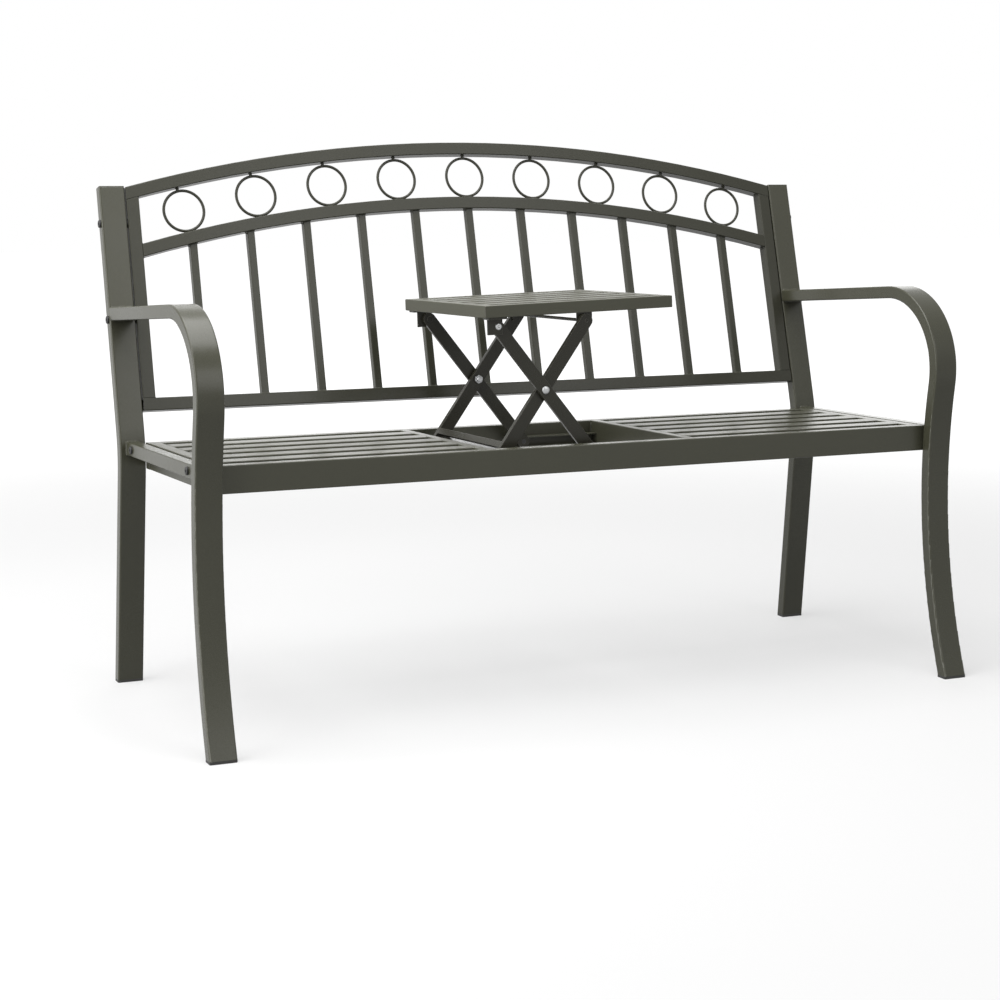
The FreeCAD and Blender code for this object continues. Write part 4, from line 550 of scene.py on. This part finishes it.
zinc = turned_steel("zinc_plate", (0.30, 0.31, 0.32), (0.58, 0.58, 0.57), 0.26, 1.0)
thread = [(0.0182 + 0.000625 * i, 0.0040 - 0.00035 * (i % 2)) for i in range(11)]
middle_pin = [(0, 0.0010), (0.00006, 0.0023), (0.00025, 0.0035), (0.00065, 0.0047), (0.0012, 0.0055),
              (0.0018, 0.00595), (0.0021, 0.0060), (0.0025, 0.0060), (0.0025, 0.0040),
              (0.0089, 0.0040), (0.0089, 0.0070), (0.0102, 0.0070), (0.0102, 0.0040), *thread,
              (0.0252, 0.0034)]
middle_pins = mirrored_pair("middle_pins", "inner_arms", middle_frame, 0.0423, middle_pin, [zinc])
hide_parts("middle_pivot_pins")

# Nuts of the middle pins: zinc plated, twelve millimetres across the flats, with their corners
# turned off above and below and the bore countersunk.

nut_flat = 0.0060


def hexagon(angles, radius):
    """Reach of a hexagon whose corners are turned off to a radius."""
    flats = nut_flat / np.cos((angles + math.pi / 6) % (math.pi / 3) - math.pi / 6)
    return np.minimum(flats, radius)


nut_profile = [(0, 0.0057), (0.0003, 0.0062), (0.0008, 0.0070), (0.0042, 0.0070), (0.0047, 0.0062),
               (0.0050, 0.0057), (0.0050, 0.0045), (0.0046, 0.00405), (0.0004, 0.00405), (0, 0.0045)]
middle_nuts = mirrored_pair("middle_nuts", "inner_arms", middle_frame, 0.0605, nut_profile, [zinc],
                            outline=hexagon, closed=True)
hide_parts("middle_pivot_nuts")

# Table: a mitred frame of square tube with five flat slats welded in from below, and catch rails,
# pressed hinge brackets and catches under it. The steel below takes the arms' coat, with its
# painted shade for the shade under the table.

table_coat = powder_coat("table_coat", (0.049, 0.049, 0.033), (0.062, 0.062, 0.043),
                         (0.16, 0.158, 0.135), waves=620.0, edge_radius=0.0008, dullness=0.38)
finish_nodes(["table_front_apron", "table_rear_apron", "table_left_apron", "table_right_apron",
              "table_slats"], table_coat)
finish_nodes(["table_front_catch_rail", "table_rear_catch_rail", "table_brackets",
              "table_catches"], arm_coat_painted_shade)

slider_rise = 0.00457
outer_slope = math.asin(math.sin(arm_slope) - slider_rise / arm_lower)
hinge_place = (middle_place[0] - arm_upper * math.cos(outer_slope),
               middle_place[1] + arm_upper * math.sin(outer_slope))
table_frame = (seat_frame @ Matrix.Translation((hinge_place[0], 0, hinge_place[1]))
               @ Matrix.Rotation((outer_slope - arm_slope) / 2, 4, "Y"))
table_slat_pitch, table_slat_middle = 0.05133, 0.0274
table_seams = []
for i in range(5):
    for node, start, toward in (("table_left_apron", 0.001, -1), ("table_right_apron", 0.252, 1)):
        place = (start, seat_middle + table_slat_pitch * (i - 2), table_slat_middle)
        table_seams.append(seam(node, table_frame, place, (0, 1, 0), (0, 0, 1),
                                around(slat_half, 0.0048, 0.0012, open_to=0.003), (toward, 0, 0)))
weld("table_slat_welds", table_seams, "tabletop", table_coat, 0.0011, closed=False)

# Hinge pins: tubular rivets, zinc plated, with a rolled rim and a hollow outside. Their inner
# ends were closed before coating and take the arms' coat, with its painted shade.

hinge_pin_depth, coated_from = 0.0398, 0.006
hinge_pin = [(0.0011, 0.0009), (0.0005, 0.0013), (0.0001, 0.0019), (0, 0.0026), (0.0001, 0.0036),
             (0.00045, 0.0045), (0.0009, 0.0050), (0.0012, 0.0050), (0.0012, 0.0030),
             (0.0114, 0.0030), (0.0114, 0.0050), (0.0118, 0.0049), (0.0122, 0.0041),
             (0.0123, 0.0022)]
hinge_pins = mirrored_pair("table_hinge_rivets", "tabletop", table_frame, hinge_pin_depth, hinge_pin,
                           [zinc, arm_coat_painted_shade])
to_table_frame = table_frame.inverted()
for face in hinge_pins.data.polygons:
    from_middle = abs((to_table_frame @ face.center).y - seat_middle)
    if from_middle < seat_middle - hinge_pin_depth - coated_from:
        face.material_index = 1
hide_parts("table_hinge_pins")

# Studio: a pale floor that fades to white for the camera, a white room, and soft lamps above and
# to the left of the bench, as the bright left faces and tops in the photograph show.

floor_mesh = bpy.data.meshes.new("floor")
floor_half = 12.0
floor_mesh.from_pydata([(-floor_half, -floor_half, 0), (floor_half, -floor_half, 0),
                        (floor_half, floor_half, 0), (-floor_half, floor_half, 0)], [], [(0, 1, 2, 3)])
floor = bpy.data.objects.new("floor", floor_mesh)
bpy.context.scene.collection.objects.link(floor)
floor_material, tree, shader, coordinates = start_material("floor_paint")
shader.inputs["Base Color"].default_value = (0.3, 0.3, 0.3, 1)
shader.inputs["Roughness"].default_value = 0.9
shader.inputs["Specular IOR Level"].default_value = 0.1
rays = tree.nodes.new("ShaderNodeLightPath")
seen = math_node(tree, "ADD", rays.outputs["Is Camera Ray"], rays.outputs["Is Glossy Ray"], clamp=True)
# The floor shows its own shade near the bench, and fades to white between 1.2 and 4 metres away.
away = tree.nodes.new("ShaderNodeVectorMath")
away.operation = "LENGTH"
tree.links.new(coordinates, away.inputs[0])
fade = tree.nodes.new("ShaderNodeMapRange")
fade.interpolation_type = "SMOOTHSTEP"
fade.inputs["From Min"].default_value = 1.2
fade.inputs["From Max"].default_value = 4.0
fade.inputs["To Min"].default_value = 0.55
fade.inputs["To Max"].default_value = 1.0
tree.links.new(away.outputs["Value"], fade.inputs["Value"])
shader.inputs["Emission Color"].default_value = (1, 1, 1, 1)
shown = math_node(tree, "MULTIPLY", seen, fade.outputs["Result"])
tree.links.new(shown, shader.inputs["Emission Strength"])
floor_mesh.materials.append(floor_material)

world = bpy.data.worlds.new("studio")
bpy.context.scene.world = world
world.use_nodes = True
tree = world.node_tree
background = tree.nodes["Background"]
background.inputs["Color"].default_value = (1, 1, 1, 1)
rays = tree.nodes.new("ShaderNodeLightPath")
seen = math_node(tree, "ADD", rays.outputs["Is Camera Ray"], rays.outputs["Is Glossy Ray"])
seen = math_node(tree, "ADD", seen, rays.outputs["Is Transmission Ray"], clamp=True)
fill = 0.14
strength = math_node(tree, "ADD", math_node(tree, "MULTIPLY", seen, 1 - fill), fill)
tree.links.new(strength, background.inputs["Strength"])


def softbox(name, place, target, size, power):
    """A square area lamp that faces a point."""
    lamp = bpy.data.lights.new(name, "AREA")
    lamp.shape = "SQUARE"
    lamp.size = size
    lamp.energy = power
    made = bpy.data.objects.new(name, lamp)
    made.location = place
    made.rotation_mode = "QUATERNION"
    made.rotation_quaternion = (Vector(target) - Vector(place)).to_track_quat("-Z", "Y")
    made.visible_camera = False
    bpy.context.scene.collection.objects.link(made)


softbox("overhead_softbox", (-0.6, -0.1, 2.7), (0, 0, 0.4), 2.2, 88)
softbox("left_softbox", (-3.4, -0.4, 1.7), (0, 0, 0.4), 3.2, 125)
softbox("front_softbox", (1.5, -4.0, 2.6), (0, 0, 0.6), 2.0, 40)
softbox("back_softbox", (1.9, 3.8, 1.9), (0, 0, 0.5), 3.0, 36)
bpy.context.scene.view_settings.view_transform = "Standard"
